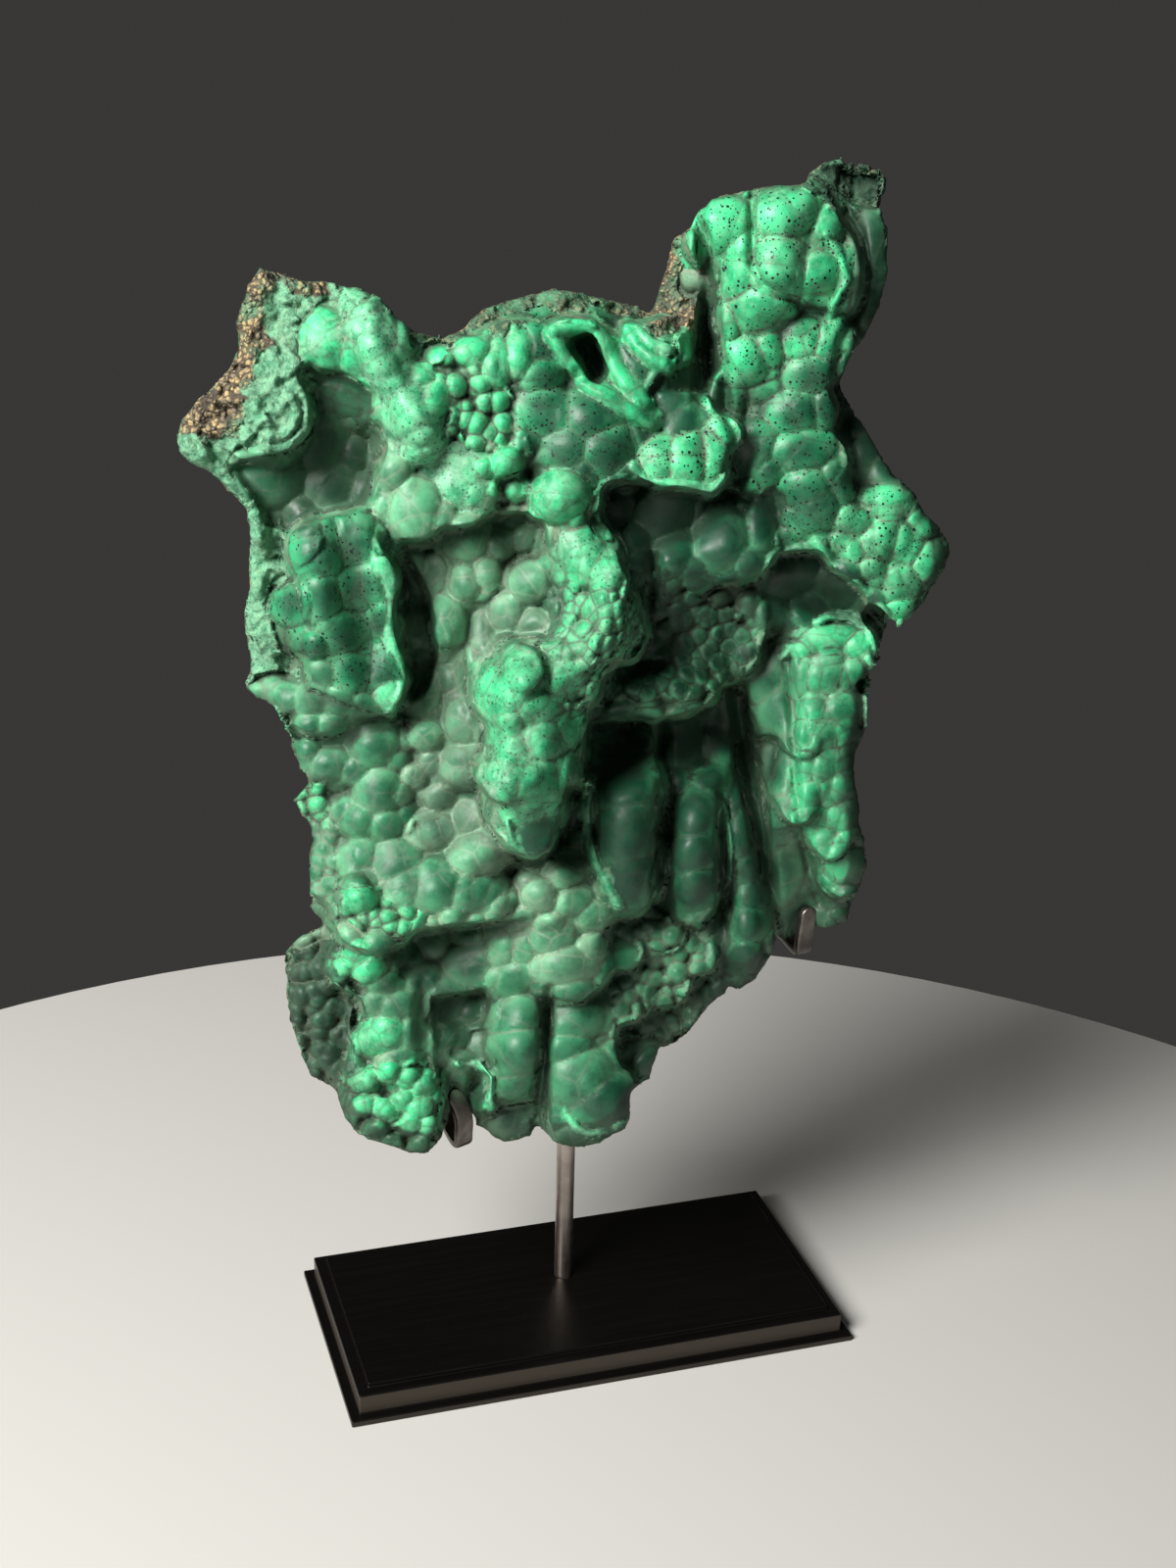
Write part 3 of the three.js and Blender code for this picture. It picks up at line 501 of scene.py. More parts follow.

# Marks read from the map: slopes that count as steep, blur in map steps and range of hollows and dips,
# and how near the front a point lies that takes its pattern's place from the bare front
# The steep and hollow marks set where the stone's colour is painted with shade
STEEP_FROM, STEEP_RANGE = 1.3, 1.7
HOLLOW_BLUR, HOLLOW_RANGE = 14, 8.0
DIP_BLUR, DIP_RANGE = 3, 1.6
REST_NEAR = 4.0

# Hooks: a flat bar with eased edges, millimetres and degrees
# Each has its place across, the height of its arm, the line of its front end, and the turn of its front face
POST_X, POST_Y, POST_RADIUS = -2.2, 5.8, 3.2
BAR_WIDE, BAR_THICK, BAR_SIDES, BAR_EASE = 6.0, 2.9, 24, 0.35
BEND, BEND_ROUNDS, ARM_STEPS = 4.0, 3, 6
LEFT_BAR = {"x": -48.0, "arm": 101.0, "turn": 22, "front": [
    (-46.8, -25.0, 94.0), (-46.6, -25.4, 98.0), (-47.4, -25.4, 102.5), (-49.2, -25.0, 107.0),
    (-51.2, -24.4, 110.0),
]}
RIGHT_BAR = {"x": 70.0, "arm": 154.0, "turn": 12, "front": [
    (70.2, -21.6, 147.6), (70.6, -21.6, 152.0), (71.0, -21.6, 156.0), (71.3, -21.5, 160.0),
]}

# Stand pieces: gap for merging points, and angles of flat faces, of arrises and of smooth shading, in degrees
MERGE_GAP = 0.01
FLAT_ANGLE, ARRIS_ANGLE, SMOOTH_ANGLE, BAR_ANGLE = 2, 40, 50, 40

# Colours of the stone
BRIGHT_GREEN = (0.044, 0.600, 0.245)
CLEAR_GREEN = (0.010, 0.250, 0.098)
DUSTY_GREEN = (0.190, 0.345, 0.220)
# The stone's darkest green, also used as painted shade
DEEP_GREEN_AND_SHADE = (0.0015, 0.024, 0.0135)
DUST = (0.105, 0.135, 0.088)
CHALK = (0.230, 0.310, 0.210)
SAGE = (0.040, 0.125, 0.070)
FILM = (0.190, 0.480, 0.270)
FIBRE = (0.045, 0.200, 0.110)
# Dark dust in the creases, and painted shade on steep flanks and at the feet of lumps
SEAM_DUST_AND_SHADE = (0.040, 0.062, 0.038)
# Painted shade: the near-black green that darkens the hollows between lumps
HOLLOW_SHADE = (0.010, 0.026, 0.014)
MINT = (0.200, 0.470, 0.290)
OCHRE = (0.400, 0.300, 0.150)
TAN = (0.170, 0.140, 0.090)
BROWN = (0.040, 0.032, 0.022)
PIT = (0.004, 0.012, 0.008)

# Noise of the stone's colours: hills in a metre, detail and roughness
MOTTLE = (110.0, 4.0, 0.65)
SPECKS = (1000.0, 3.0)
PATCHES = (45.0, 4.0)
FILM_CLOUDS = (240.0, 5.0, 0.75)
FIBRES = (300.0, 5.0, 0.8)
EARTH_CLOUDS = (200.0, 5.0, 0.7)
STAINS = (90.0, 4.0)
PIT_FIELDS = (70.0, 3.0)
GRAIN, CRUST = (1000.0, 2.0), (520.0, 4.0, 0.8)

# Pits in three sizes: cells in a metre, how rare they are, and their reach against the cell
PITS = ((330.0, 0.25, 0.19), (700.0, 0.15, 0.31), (1300.0, 0.25, 0.36))
CRUMB_SCALE = 620.0

# Creases in colour: reach from a cell's crease, and the marks of a lump's crease where they start and end
CREASE_CORE, CREASE_LINE, CREASE_HALO = 0.05, (0.6, 0.45, 0.95), (2.4, 0.02, 0.8)
LUMP_CREASES = 0.42

# Where a lump or cell changes colour between its middle and its rim
RIM_FADE = (0.30, 1.0)
STONE_SHINE = 0.45

# The base is black, and the sides of its lower steps are painted a lighter brown for the light and reflection
# on them: heights in metres
BLACK_DARK, BLACK_LIGHT = (0.0016, 0.0015, 0.0014), (0.0021, 0.0020, 0.0018)
WOOD_GRAIN = (420.0, 6.0, 0.6)
WOOD_SHINE, WOOD_SHINE_TINT = 0.22, (1.0, 0.92, 0.82, 1.0)
LIT_SIDE_BROWN = (0.034, 0.028, 0.022)
LIT_SIDE_FROM = (0.0028, 0.0031)
LIT_SIDE_TO = (0.0089, 0.0092)
LIT_FOOT_SIDE = (0.0018, 0.0021)

# Steel of the post and of the hooks: light and dark tone, and roughness
ROD_STEEL = ((0.50, 0.44, 0.40), (0.36, 0.31, 0.28), 0.30)
HOOK_STEEL = ((0.26, 0.23, 0.21), (0.12, 0.105, 0.095), 0.34)
STEEL_BRUSH, STEEL_STAIN, STEEL_SPREAD = (2600.0, 3.0, 0.6), (90.0, 5.0, 0.6), 0.14
POST_ARRIS, BASE_ARRIS = 0.3, 0.5

# Floor and light of the picture, in metres and watts: each light's place, aim, width, power and colour
FLOOR_RADIUS, FLOOR_PLACE = 0.44, (-0.045, -0.136, 0.0)
FLOOR_WHITE, FLOOR_ROUGH = (0.485, 0.481, 0.458, 1.0), 0.7
LIGHTS = {
    "key": ((-0.98, -0.58, 1.02), (0.0, -0.02, 0.22), 0.75, 50.0, (1.0, 0.98, 0.95)),
    "fill": ((0.3, -1.4, 0.5), (0.0, 0.0, 0.2), 1.0, 0.4, (0.95, 0.98, 1.0)),
}
STUDIO_GREY = (0.040, 0.039, 0.037, 1.0)

SEED = 7
OUTLINE_SEED, SWING_SEED = SEED + 20, SEED + 30


def only(piece):
    bpy.ops.object.select_all(action="DESELECT")
    piece.select_set(True)
    bpy.context.view_layer.objects.active = piece


def finish_with(piece, kind, **settings):
    only(piece)
    modifier = piece.modifiers.new(kind.lower(), kind)
    for key, value in settings.items():
        setattr(modifier, key, value)
    bpy.ops.object.modifier_apply(modifier=modifier.name)


def copy_of_node(node, name):
    piece = bpy.data.objects.new(name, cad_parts[node].data.copy())
    bpy.context.collection.objects.link(piece)
    only(piece)
    bpy.ops.mesh.customdata_custom_splitnormals_clear()
    bpy.ops.object.mode_set(mode="EDIT")
    bpy.ops.mesh.select_all(action="SELECT")
    bpy.ops.mesh.remove_doubles(threshold=MERGE_GAP * MM)
    bpy.ops.object.mode_set(mode="OBJECT")
    return piece


def arrays_of(piece):
    """Points in millimetres and triangles of a piece."""
    mesh = piece.data
    mesh.calc_loop_triangles()
    points = np.empty(len(mesh.vertices) * 3)
    mesh.vertices.foreach_get("co", points)
    faces = np.empty(len(mesh.loop_triangles) * 3, dtype=np.int32)
    mesh.loop_triangles.foreach_get("vertices", faces)
    return points.reshape(-1, 3) / MM, faces.reshape(-1, 3)


def piece_from(name, points, faces):
    mesh = bpy.data.meshes.new(name)
    mesh.vertices.add(len(points))
    mesh.vertices.foreach_set("co", (points * MM).ravel())
    mesh.loops.add(3 * len(faces))
    mesh.loops.foreach_set("vertex_index", faces.ravel())
    mesh.polygons.add(len(faces))
    mesh.polygons.foreach_set("loop_start", np.arange(0, 3 * len(faces), 3))
    mesh.update(calc_edges=True)
    piece = bpy.data.objects.new(name, mesh)
    bpy.context.collection.objects.link(piece)
    return piece


def inside(across, up, corners):
    """Whether places lie within an outline. Works on single places and on maps."""
    hit = np.zeros(np.shape(across), dtype=bool)
    for (ax, ay), (bx, by) in zip(corners, corners[1:] + corners[:1]):
        if ay != by:
            level = (ay > up) != (by > up)
            hit ^= level & (across < (bx - ax) * (up - ay) / (by - ay) + ax)
    return hit


def gap_from(across, up, places):
    """How far places on the map are from a line of places."""
    gap = np.full(across.shape, BEYOND)
    for (ax, ay), (bx, by) in zip(places, places[1:]):
        share = ((across - ax) * (bx - ax) + (up - ay) * (by - ay)) / ((bx - ax) ** 2 + (by - ay) ** 2)
        share = np.clip(share, 0, 1)
        gap = np.minimum(gap, np.hypot(across - ax - share * (bx - ax), up - ay - share * (by - ay)))
    return gap


def in_boxes(across, up, boxes):
    return any(a <= across <= c and b <= up <= d for a, b, c, d in boxes)


def shifted(values, dx, dy):
    return np.roll(values, (dx, dy), (0, 1))


def blurred(values, reach):
    """A map smoothed by repeated box means over a reach of steps."""
    for axis in (0, 1):
        for _ in range(3):
            margins = [(reach + 1, reach) if side == axis else (0, 0) for side in (0, 1)]
            total = np.cumsum(np.pad(values, margins, mode="edge"), axis=axis)
            size = 2 * reach + 1
            upper = np.take(total, np.arange(size, total.shape[axis]), axis)
            lower = np.take(total, np.arange(total.shape[axis] - size), axis)
            values = (upper - lower) / size
    return values


def eased(depth, held):
    """Depths smoothed, with large steps kept."""
    total = np.zeros_like(depth)
    weight = np.full_like(depth, 1e-6)
    for dx in range(-2 * EASE_REACH, 2 * EASE_REACH + 1, EASE_SKIP):
        for dy in range(-2 * EASE_REACH, 2 * EASE_REACH + 1, EASE_SKIP):
            moved = shifted(depth, dx, dy)
            far = (dx * dx + dy * dy) / (2.0 * EASE_REACH ** 2)
            share = np.exp(-far - ((moved - depth) / EASE_HOLD) ** 2) * shifted(held, dx, dy)
            total += share * moved
            weight += share
    return np.where(held, total / weight, depth)


def spread_out(depth, held, rounds):
    """Depths carried outwards past the outline."""
    known = held.copy()
    for _ in range(rounds):
        total = np.zeros_like(depth)
        count = np.zeros_like(depth)
        for dx, dy in NEIGHBOURS:
            total += np.where(shifted(known, dx, dy), shifted(depth, dx, dy), 0.0)
            count += shifted(known, dx, dy)
        fresh = ~known & (count > 0)
        depth[fresh] = total[fresh] / count[fresh]
        known |= fresh
    return known


def filled(depth, reach, left):
    """Depths with pits narrower than twice the reach filled up to a shallow rest."""
    opened = depth.copy()
    for pick in (np.minimum, np.maximum):
        for axis in (0, 1):
            source = opened.copy()
            for step in range(-reach, reach + 1):
                opened = pick(opened, shifted(source, step * (1 - axis), step * axis))
    return np.minimum(depth, opened + left)


def distance_in(held, limit):
    """How far inside the outline each place is, up to a limit, in millimetres."""
    distance = np.zeros(held.shape)
    layer = held.copy()
    for _ in range(int(limit / STEP) + 1):
        distance += np.where(layer, STEP, 0.0)
        beside = [shifted(layer, dx, dy) for dx, dy in NEIGHBOURS]
        layer &= beside[0] & beside[1] & beside[2] & beside[3]
    return distance


class Side:
    """Relief of one side of the stone over its map: heights, finishes, and the lump at each place."""

    def __init__(self, shape):
        self.height = np.zeros(shape)
        self.second = np.full(shape, BURIED)
        self.finish = np.zeros(shape, dtype=int)
        self.owner = np.zeros(shape, dtype=int)
        self.rim = np.full(shape, PLAIN_RIM)
        self.lumps = 0

    def put(self, window, heights, finish, rim):
        before = self.height[window]
        above = heights > before
        self.lumps += 1
        self.second[window] = np.where(above, before, np.maximum(self.second[window], heights))
        self.height[window] = np.where(above, heights, before)
        self.owner[window] = np.where(above, self.lumps, self.owner[window])
        self.rim[window] = np.where(above, rim, self.rim[window])
        self.finish[window] = np.where(above, FINISH_NAMES.index(finish), self.finish[window])


class Face:
    """The stone's face as a map of depths along the sight lines, front and back."""

    def __init__(self):
        columns = np.arange(WEST, EAST, STEP)
        rows = np.arange(FOOT, CROWN, STEP)
        self.across, self.up = np.meshgrid(columns, rows, indexing="ij")
        along = np.stack([self.across, np.full_like(self.across, FACE_Y), self.up], axis=-1) - EYE
        self.along = along / np.linalg.norm(along, axis=-1)[..., None]
        self.read_solid()
        for row in FORMS:
            self.swell(row)
        for deep, corners in SUNK.values():
            self.front += deep * blurred(inside(self.across, self.up, corners) * 1.0, 1)
        for deep, wide, places in SEAMS.values():
            self.front += deep * np.exp(-(gap_from(self.across, self.up, places) / wide) ** 2)
        self.cell_size = np.full(self.across.shape, MIDDLE)
        self.skin = np.zeros(self.across.shape)
        self.swings = 1.0 + CORD_SWING * value_noise(self, CORD_SWING_SIZE, SWING_SEED)
        self.front_side = Side(self.across.shape)
        self.back_side = Side(self.across.shape)

    def points(self, depth):
        return EYE + self.along * depth[..., None]

    def read_solid(self):
        """Depths of the solid's stone with its own lumps eased away."""
        solid = copy_of_node("malachite", "solid_stone")
        points, faces = arrays_of(solid)
        bpy.data.objects.remove(solid)
        tree = BVHTree.FromPolygons(points.tolist(), faces.tolist())
        eye = Vector(EYE)
        front = np.zeros(self.across.shape)
        back = np.zeros(self.across.shape)
        for index in np.ndindex(front.shape):
            along = Vector(self.along[index])
            near = tree.ray_cast(eye, along)[3]
            if near is not None:
                front[index] = near
                back[index] = BEYOND - tree.ray_cast(eye + along * BEYOND, -along)[3]
        self.held = front > 0
        self.held = self.softened(self.held)
        self.front = eased(eased(front, self.held), self.held)
        inner = distance_in(self.held, PIT_RIM) >= PIT_RIM
        self.front = np.where(inner, filled(self.front, PIT_REACH, PIT_LEFT), self.front)
        self.back = eased(back, self.held)
        known = spread_out(self.front, self.held, int(OVERHANG / STEP))
        spread_out(self.back, self.held, int(OVERHANG / STEP))
        self.front[~known] = self.front[self.held].mean()
        self.back[~known] = self.back[self.held].mean()

    def softened(self, held):
        """The outline with its corners rounded and small bays and bumps along it."""
        soft = blurred(held * 1.0, OUTLINE_BLUR)
        waves = hills(self, OUTLINE_BAYS, OUTLINE_SEED)
        return held & inside(self.across, self.up, OUTLINE) & (soft > OUTLINE_LEVEL + OUTLINE_WAVE * waves)

    def window(self, across, up, reach):
        i0 = max(0, int((across - reach - WEST) / STEP))
        j0 = max(0, int((up - reach - FOOT) / STEP))
        i1 = min(self.across.shape[0], int((across + reach - WEST) / STEP) + 2)
        j1 = min(self.across.shape[1], int((up + reach - FOOT) / STEP) + 2)
        return slice(i0, i1), slice(j0, j1)

    def local(self, window, across, up, wide, high, lean):
        c, s = math.cos(math.radians(lean)), math.sin(math.radians(lean))
        x, y = self.across[window] - across, self.up[window] - up
        return (c * x - s * y) / wide, (s * x + c * y) / high

    def swell(self, row):
        """A soft large form: across, up, half width, half height, lean, and how far it stands out."""
        across, up, wide, high, lean, out = row
        window = self.window(across, up, FORM_REACH * max(wide, high))
        x, y = self.local(window, across, up, wide, high, lean)
        self.front[window] -= out * np.exp(-FORM_FALL * (x * x + y * y) ** FORM_POWER)

    def cap(self, row, finish, share):
        """A rounded cap whose footprint is the row's outline."""
        across, up, wide = row[:3]
        high = row[3] if len(row) > 3 else wide
        lean = row[4] if len(row) > 4 else 0
        wide, high = wide * CAP_SPREAD, high * CAP_SPREAD
        window = self.window(across, up, CAP_WINDOW * max(wide, high))
        x, y = self.local(window, across, up, wide, high, lean)
        grow = (1 + share ** 2) / (2 * share)
        square = x * x + y * y
        heights = min(wide, high) * (np.sqrt(np.maximum(grow ** 2 - square, 0.0)) - (grow - share))
        heights += CAP_LIFT + CAP_SKIN.get(finish, CAP_SKIN_ELSE) * self.skin[window]
        heights = np.where(square < min(CAP_LIMIT, grow ** 2), heights, BURIED)
        self.front_side.put(window, heights, finish, np.sqrt(square))

    def cord(self, finish, radius, places):
        """A rounded rim along a line of places, level with the nearest ground beside it."""
        xs, ys = [place[0] for place in places], [place[1] for place in places]
        middle = ((min(xs) + max(xs)) / 2, (min(ys) + max(ys)) / 2)
        longest = max(max(xs) - min(xs), max(ys) - min(ys))
        window = self.window(*middle, longest / 2 + CORD_WINDOW * radius)
        gap = gap_from(self.across[window], self.up[window], places)
        ground = self.front[window]
        nearest = ground.copy()
        for dx in CORD_LOOK:
            for dy in CORD_LOOK:
                nearest = np.minimum(nearest, shifted(self.front, dx, dy)[window])
        reach = CORD_REACH * radius
        ridge = (1.0 - np.minimum(gap / reach, 1.0) ** 2) ** CORD_POWER
        lift = (ground - nearest) * np.clip(CORD_BRIDGE * ridge, 0.0, 1.0)
        lift += CORD_RISE * radius * ridge * self.swings[window]
        lift += CORD_LIFT + CAP_SKIN_ELSE * self.skin[window]
        self.front_side.put(window, np.where(gap < reach, lift, BURIED), finish, gap / reach)


def grow_lumps(face):
    for finish, share, rows in LUMPS.values():
        for row in rows:
            if not in_boxes(row[0], row[1], BARE_FRONT):
                face.cap(row, finish, share)
    for finish, radius, places in EDGES.values():
        face.cord(finish, radius, places)
    for radius, thick in DISC_ARCS:
        turns = np.radians(np.linspace(*DISC_TURN, DISC_POINTS))
        arc = [(DISC[0] + radius * math.cos(turn), DISC[1] + radius * math.sin(turn)) for turn in turns]
        face.cord("broken", thick, arc)


def cell_reader(size):
    """Geometry nodes that store each point's cell: its gap from the middle, the middle, random numbers."""
    group = bpy.data.node_groups.new("skin_cells", "GeometryNodeTree")
    group.interface.new_socket("Geometry", in_out="INPUT", socket_type="NodeSocketGeometry")
    group.interface.new_socket("Geometry", in_out="OUTPUT", socket_type="NodeSocketGeometry")
    scale = 1.0 / (size * MM)
    cells = node(group, "ShaderNodeTexVoronoi", {"feature": "F1"}, Scale=scale).outputs
    edges = node(group, "ShaderNodeTexVoronoi", {"feature": "DISTANCE_TO_EDGE"}, Scale=scale).outputs
    flow = node(group, "NodeGroupInput").outputs[0]
    rows = (("gap", "FLOAT", cells["Distance"]), ("edge", "FLOAT", edges["Distance"]),
            ("dice", "FLOAT_VECTOR", cells["Color"]), ("middle", "FLOAT_VECTOR", cells["Position"]))
    for name, kind, value in rows:
        store = node(group, "GeometryNodeStoreNamedAttribute", {"data_type": kind, "domain": "POINT"},
                     Geometry=flow, Name=name, Value=value)
        flow = store.outputs[0]
    node(group, "NodeGroupOutput", _0=flow)
    return group


def cells_at(points, size):
    """The skin's cells at places: gap from the middle against size, gap from the edge, dice and middle."""
    mesh = bpy.data.meshes.new("probe")
    mesh.vertices.add(len(points))
    mesh.vertices.foreach_set("co", (points * MM).ravel())
    probe = bpy.data.objects.new("probe", mesh)
    bpy.context.collection.objects.link(probe)
    finish_with(probe, "NODES", node_group=cell_reader(size))
    read = {}
    for name, wide in (("gap", 1), ("edge", 1), ("dice", 3), ("middle", 3)):
        values = np.empty(wide * len(points), dtype=np.float32)
        probe.data.attributes[name].data.foreach_get("value" if wide == 1 else "vector", values)
        read[name] = values if wide == 1 else values.reshape(-1, 3)
    bpy.data.objects.remove(probe)
    return read["gap"], read["edge"] * size, read["dice"], read["middle"] / MM


def on_face(points):
    """Places on the face's plane of points, as they are seen."""
    reach = points - EYE
    seen = EYE + reach * ((FACE_Y - EYE[1]) / reach[..., 1])[..., None]
    return seen[..., 0], seen[..., 2]


def zones_at(across, up):
    zone = np.zeros(across.shape, dtype=int)
    for index, (_, _, _, corners) in enumerate(ZONES.values()):
        if corners:
            zone[inside(across, up, corners)] = index
    return zone


def groove(gap, finish):
    """Depth of the crease at a gap from it, shallow on the soft dusty parts and none on broken rock."""
    sharp = np.array([CREASE_SHARP.get(name, CREASE_SOFT) for name in FINISHES])
    return sharp[finish] * np.exp(-gap / CREASE_WIDE)


def dome(gap):
    return (np.sqrt(np.maximum(DOME_RADIUS ** 2 - gap ** 2, DOME_LEAST)) - DOME_LEVEL) / DOME_SPAN


def facet(dice, offset, size):
    """Heights of a broken face: each cell a tilted flat at its own level."""
    tilt = (dice[:, 1] - 0.5) * offset[:, 0] + (dice[:, 2] - 0.5) * offset[:, 2]
    return (dice[:, 0] - 0.5) * FACET_STEP + FACET_TILT * tilt / size


def grow_skin(face):
    """The small cells all over the front, each in the zone that its middle lies in.

    The first turn lays middle-sized cells everywhere, and the others set each zone's own cells over them.
    """
    rows = list(ZONES.values())
    kinds = np.array([FINISH_NAMES.index(row[0]) for row in rows])
    sizes = np.array([row[1] for row in rows])
    shares = np.array([row[2] for row in rows])
    rocky = np.array([row[0] in ROCKY for row in rows])
    shape = face.across.shape
    ground = face.points(face.front).reshape(-1, 3)
    here = zones_at(face.across, face.up).ravel()
    taken = np.zeros(len(ground), dtype=bool)
    height = np.zeros(len(ground))
    finish = kinds[here]
    layer = np.full(len(ground), MIDDLE)
    rim = np.zeros(len(ground))
    for turn, level in enumerate((MIDDLE, LARGE, MIDDLE, SMALL)):
        everywhere = turn == 0
        size = CELL_SIZES[level]
        gap, edge, dice, middle = cells_at(ground, size)
        zone = zones_at(*on_face(middle))
        mine = np.ones_like(taken) if everywhere else (sizes[zone] == level) & ~taken
        form = np.where(rocky[zone], facet(dice, ground - middle, size), dome(gap))
        rise = shares[zone] * size * form - groove(edge, kinds[zone])
        height[mine] = rise[mine]
        finish[mine] = kinds[zone][mine]
        layer[mine] = level
        rim[mine] = gap[mine] / CELL_REACH
        if not everywhere:
            taken |= mine
    face.skin = height.reshape(shape)
    face.front_side.height = face.skin.copy()
    face.front_side.finish = finish.reshape(shape)
    face.front_side.rim = rim.reshape(shape)
    face.cell_size = layer.reshape(shape)


def grow_back(face):
    """Low broken cells on the back, with bare flats where the holder touches."""
    shape = face.across.shape
    size = CELL_SIZES[LARGE]
    ground = face.points(face.back)
    gap, _, dice, middle = cells_at(ground.reshape(-1, 3), size)
    broken = dice[:, 0] > BACK_BROKEN
    flat = BACK_FACET * facet(dice, ground.reshape(-1, 3) - middle, size)
    rise = size * np.where(broken, flat, BACK_DOME * dome(gap))
    side = face.back_side
    side.height = blurred(rise.reshape(shape), BACK_BLUR)
    kinds = [FINISH_NAMES.index(name) for name in ("back", "back_green")]
    side.finish = np.where(broken, *kinds).reshape(shape)
    for low_x, low_z, high_x, high_z in BARE_BACK:
        bare = (ground[..., 0] > low_x) & (ground[..., 0] < high_x)
        bare &= (ground[..., 2] > low_z) & (ground[..., 2] < high_z)
        side.height[bare] = np.minimum(side.height[bare], BACK_BARE)


def value_noise(face, size, seed):
    """Soft random hills about a size across, from minus one to one."""
    shape = face.across.shape
    cells = [int(count * STEP / size) + 3 for count in shape]
    grid = np.random.default_rng(seed).uniform(-1, 1, cells)
    x = np.arange(shape[0]) * STEP / size
    y = np.arange(shape[1]) * STEP / size
    i, j = x.astype(int), y.astype(int)
    fx, fy = (x - i)[:, None], (y - j)[None, :]
    fx, fy = fx * fx * (3 - 2 * fx), fy * fy * (3 - 2 * fy)
    top = grid[np.ix_(i, j)] * (1 - fx) + grid[np.ix_(i + 1, j)] * fx
    low = grid[np.ix_(i, j + 1)] * (1 - fx) + grid[np.ix_(i + 1, j + 1)] * fx
    return top * (1 - fy) + low * fy


def hills(face, rows, seed):
    """Hills of several sizes together, from rows of size and share."""
    return sum(share * value_noise(face, size, seed + turn) for turn, (size, share) in enumerate(rows))


def look_map(side, column):
    return np.array(list(FINISHES.values()))[side.finish, column]


def roughened(face, seed):
    """Small unevenness everywhere, and broken rock where the finish is rocky."""
    rock = np.isin(face.front_side.finish, [FINISH_NAMES.index(name) for name in ROCKY]) * 1.0
    rock = blurred(rock, 1)
    fine = hills(face, ROCK_HILLS, seed)
    calm = hills(face, CALM_HILLS, seed + len(ROCK_HILLS))
    return rock * fine * ROCK_RISE + (1 - rock) * calm


def rounded_rim(distance, radius):
    inner = np.clip(radius - distance, 0, radius)
    return radius - np.sqrt(radius ** 2 - inner ** 2)


def sheets_of(face):
    """Depths of the front and of the back, with their relief and rounded rims."""
    rim = distance_in(face.held, max(RIM_ROUND, BACK_ROUND))
    side = face.front_side
    carved = side.height - groove(np.maximum(side.height - side.second, 0.0), side.finish)
    front = face.front - carved + roughened(face, SEED)
    front += rounded_rim(rim, RIM_ROUND) + np.where(inside(face.across, face.up, SLIT), SLIT_DEEP, 0.0)
    back = face.back + face.back_side.height
    back -= rounded_rim(rim, BACK_ROUND)
    back = np.maximum(back, front + np.minimum(LEAST_THICK, EDGE_THICK + EDGE_GROWTH * rim))
    return front, back


def calmed(points, depth, used):
    """Steep flanks evened out, so that they show no streaks from the side."""
    slope = np.hypot(*np.gradient(blurred(depth, 1), STEP))
    inner = used.copy()
    for dx, dy in NEIGHBOURS:
        inner &= shifted(used, dx, dy)
    share = CALM_SHARE * np.clip((slope - CALM_FROM) / CALM_RANGE, 0.0, 1.0)
    share = np.where(inner, share, 0.0)[..., None]
    for _ in range(CALM_ROUNDS):
        beside = sum(shifted(points, dx, dy) for dx, dy in NEIGHBOURS)
        points = points + share * (beside / 4 - points)
    return points


def fused_stone(face):
    """The front, the back and the torn side closed to one stone, and the depths of both sheets."""
    front, back = sheets_of(face)
    held = face.held
    number = np.full(held.shape, -1)
    corners = [held[:-1, :-1], held[1:, :-1], held[1:, 1:], held[:-1, 1:]]
    full = corners[0] & corners[1] & corners[2] & corners[3]
    used = np.zeros(held.shape, dtype=bool)
    for di, dj in ((0, 0), (1, 0), (1, 1), (0, 1)):
        used[di:held.shape[0] - 1 + di, dj:held.shape[1] - 1 + dj] |= full
    number[used] = np.arange(used.sum())
    quads = np.stack([number[:-1, :-1], number[1:, :-1], number[1:, 1:], number[:-1, 1:]], axis=-1)[full]
    sides = np.concatenate([quads[:, [a, b]] for a, b in ((0, 1), (1, 2), (2, 3), (3, 0))])
    _, first, uses = np.unique(np.sort(sides, axis=1), axis=0, return_index=True, return_counts=True)
    rim = sides[first[uses == 1]]
    count = int(used.sum())
    points = [calmed(face.points(depth), depth, used)[used] for depth in (front, back)]
    faces = [quads, quads[:, ::-1] + count]
    extra, walls = wall_rows(points, rim, 2 * count)
    faces.append(walls)
    every = np.vstack(faces)
    triangles = np.vstack([every[:, [0, 1, 2]], every[:, [0, 2, 3]]])
    stone = piece_from("malachite_stone", np.vstack(points + [extra]), triangles)
    finish_with(stone, "REMESH", mode="VOXEL", voxel_size=VOXEL * MM)
    grow_flanks(stone)
    finish_with(stone, "SMOOTH", factor=0.5, iterations=1)
    set_on_map(stone, front)
    finish_with(stone, "TRIANGULATE")
    ratio = STONE_TRIANGLES / len(stone.data.polygons)
    finish_with(stone, "DECIMATE", decimate_type="COLLAPSE", ratio=ratio)
    return stone, front, back


def set_on_map(stone, front):
    """The open front set exactly on its map of depths, so that its creases stay sharp."""
    points, _ = arrays_of(stone)
    share, _ = flank_share(stone, points)
    distance = np.linalg.norm(points - EYE, axis=1)
    across, up = on_face(points)
    x = np.clip((across - WEST) / STEP, 0, front.shape[0] - 2)
    y = np.clip((up - FOOT) / STEP, 0, front.shape[1] - 2)
    i, j = x.astype(int), y.astype(int)
    fx, fy = x - i, y - j
    depth = (front[i, j] * (1 - fx) + front[i + 1, j] * fx) * (1 - fy)
    depth += (front[i, j + 1] * (1 - fx) + front[i + 1, j + 1] * fx) * fy
    hold = (1 - share) * (np.abs(distance - depth) < ON_MAP)
    points = EYE + (points - EYE) * (1 + hold * (depth / distance - 1))[:, None]
    stone.data.vertices.foreach_set("co", (points * MM).ravel())
    stone.data.update()


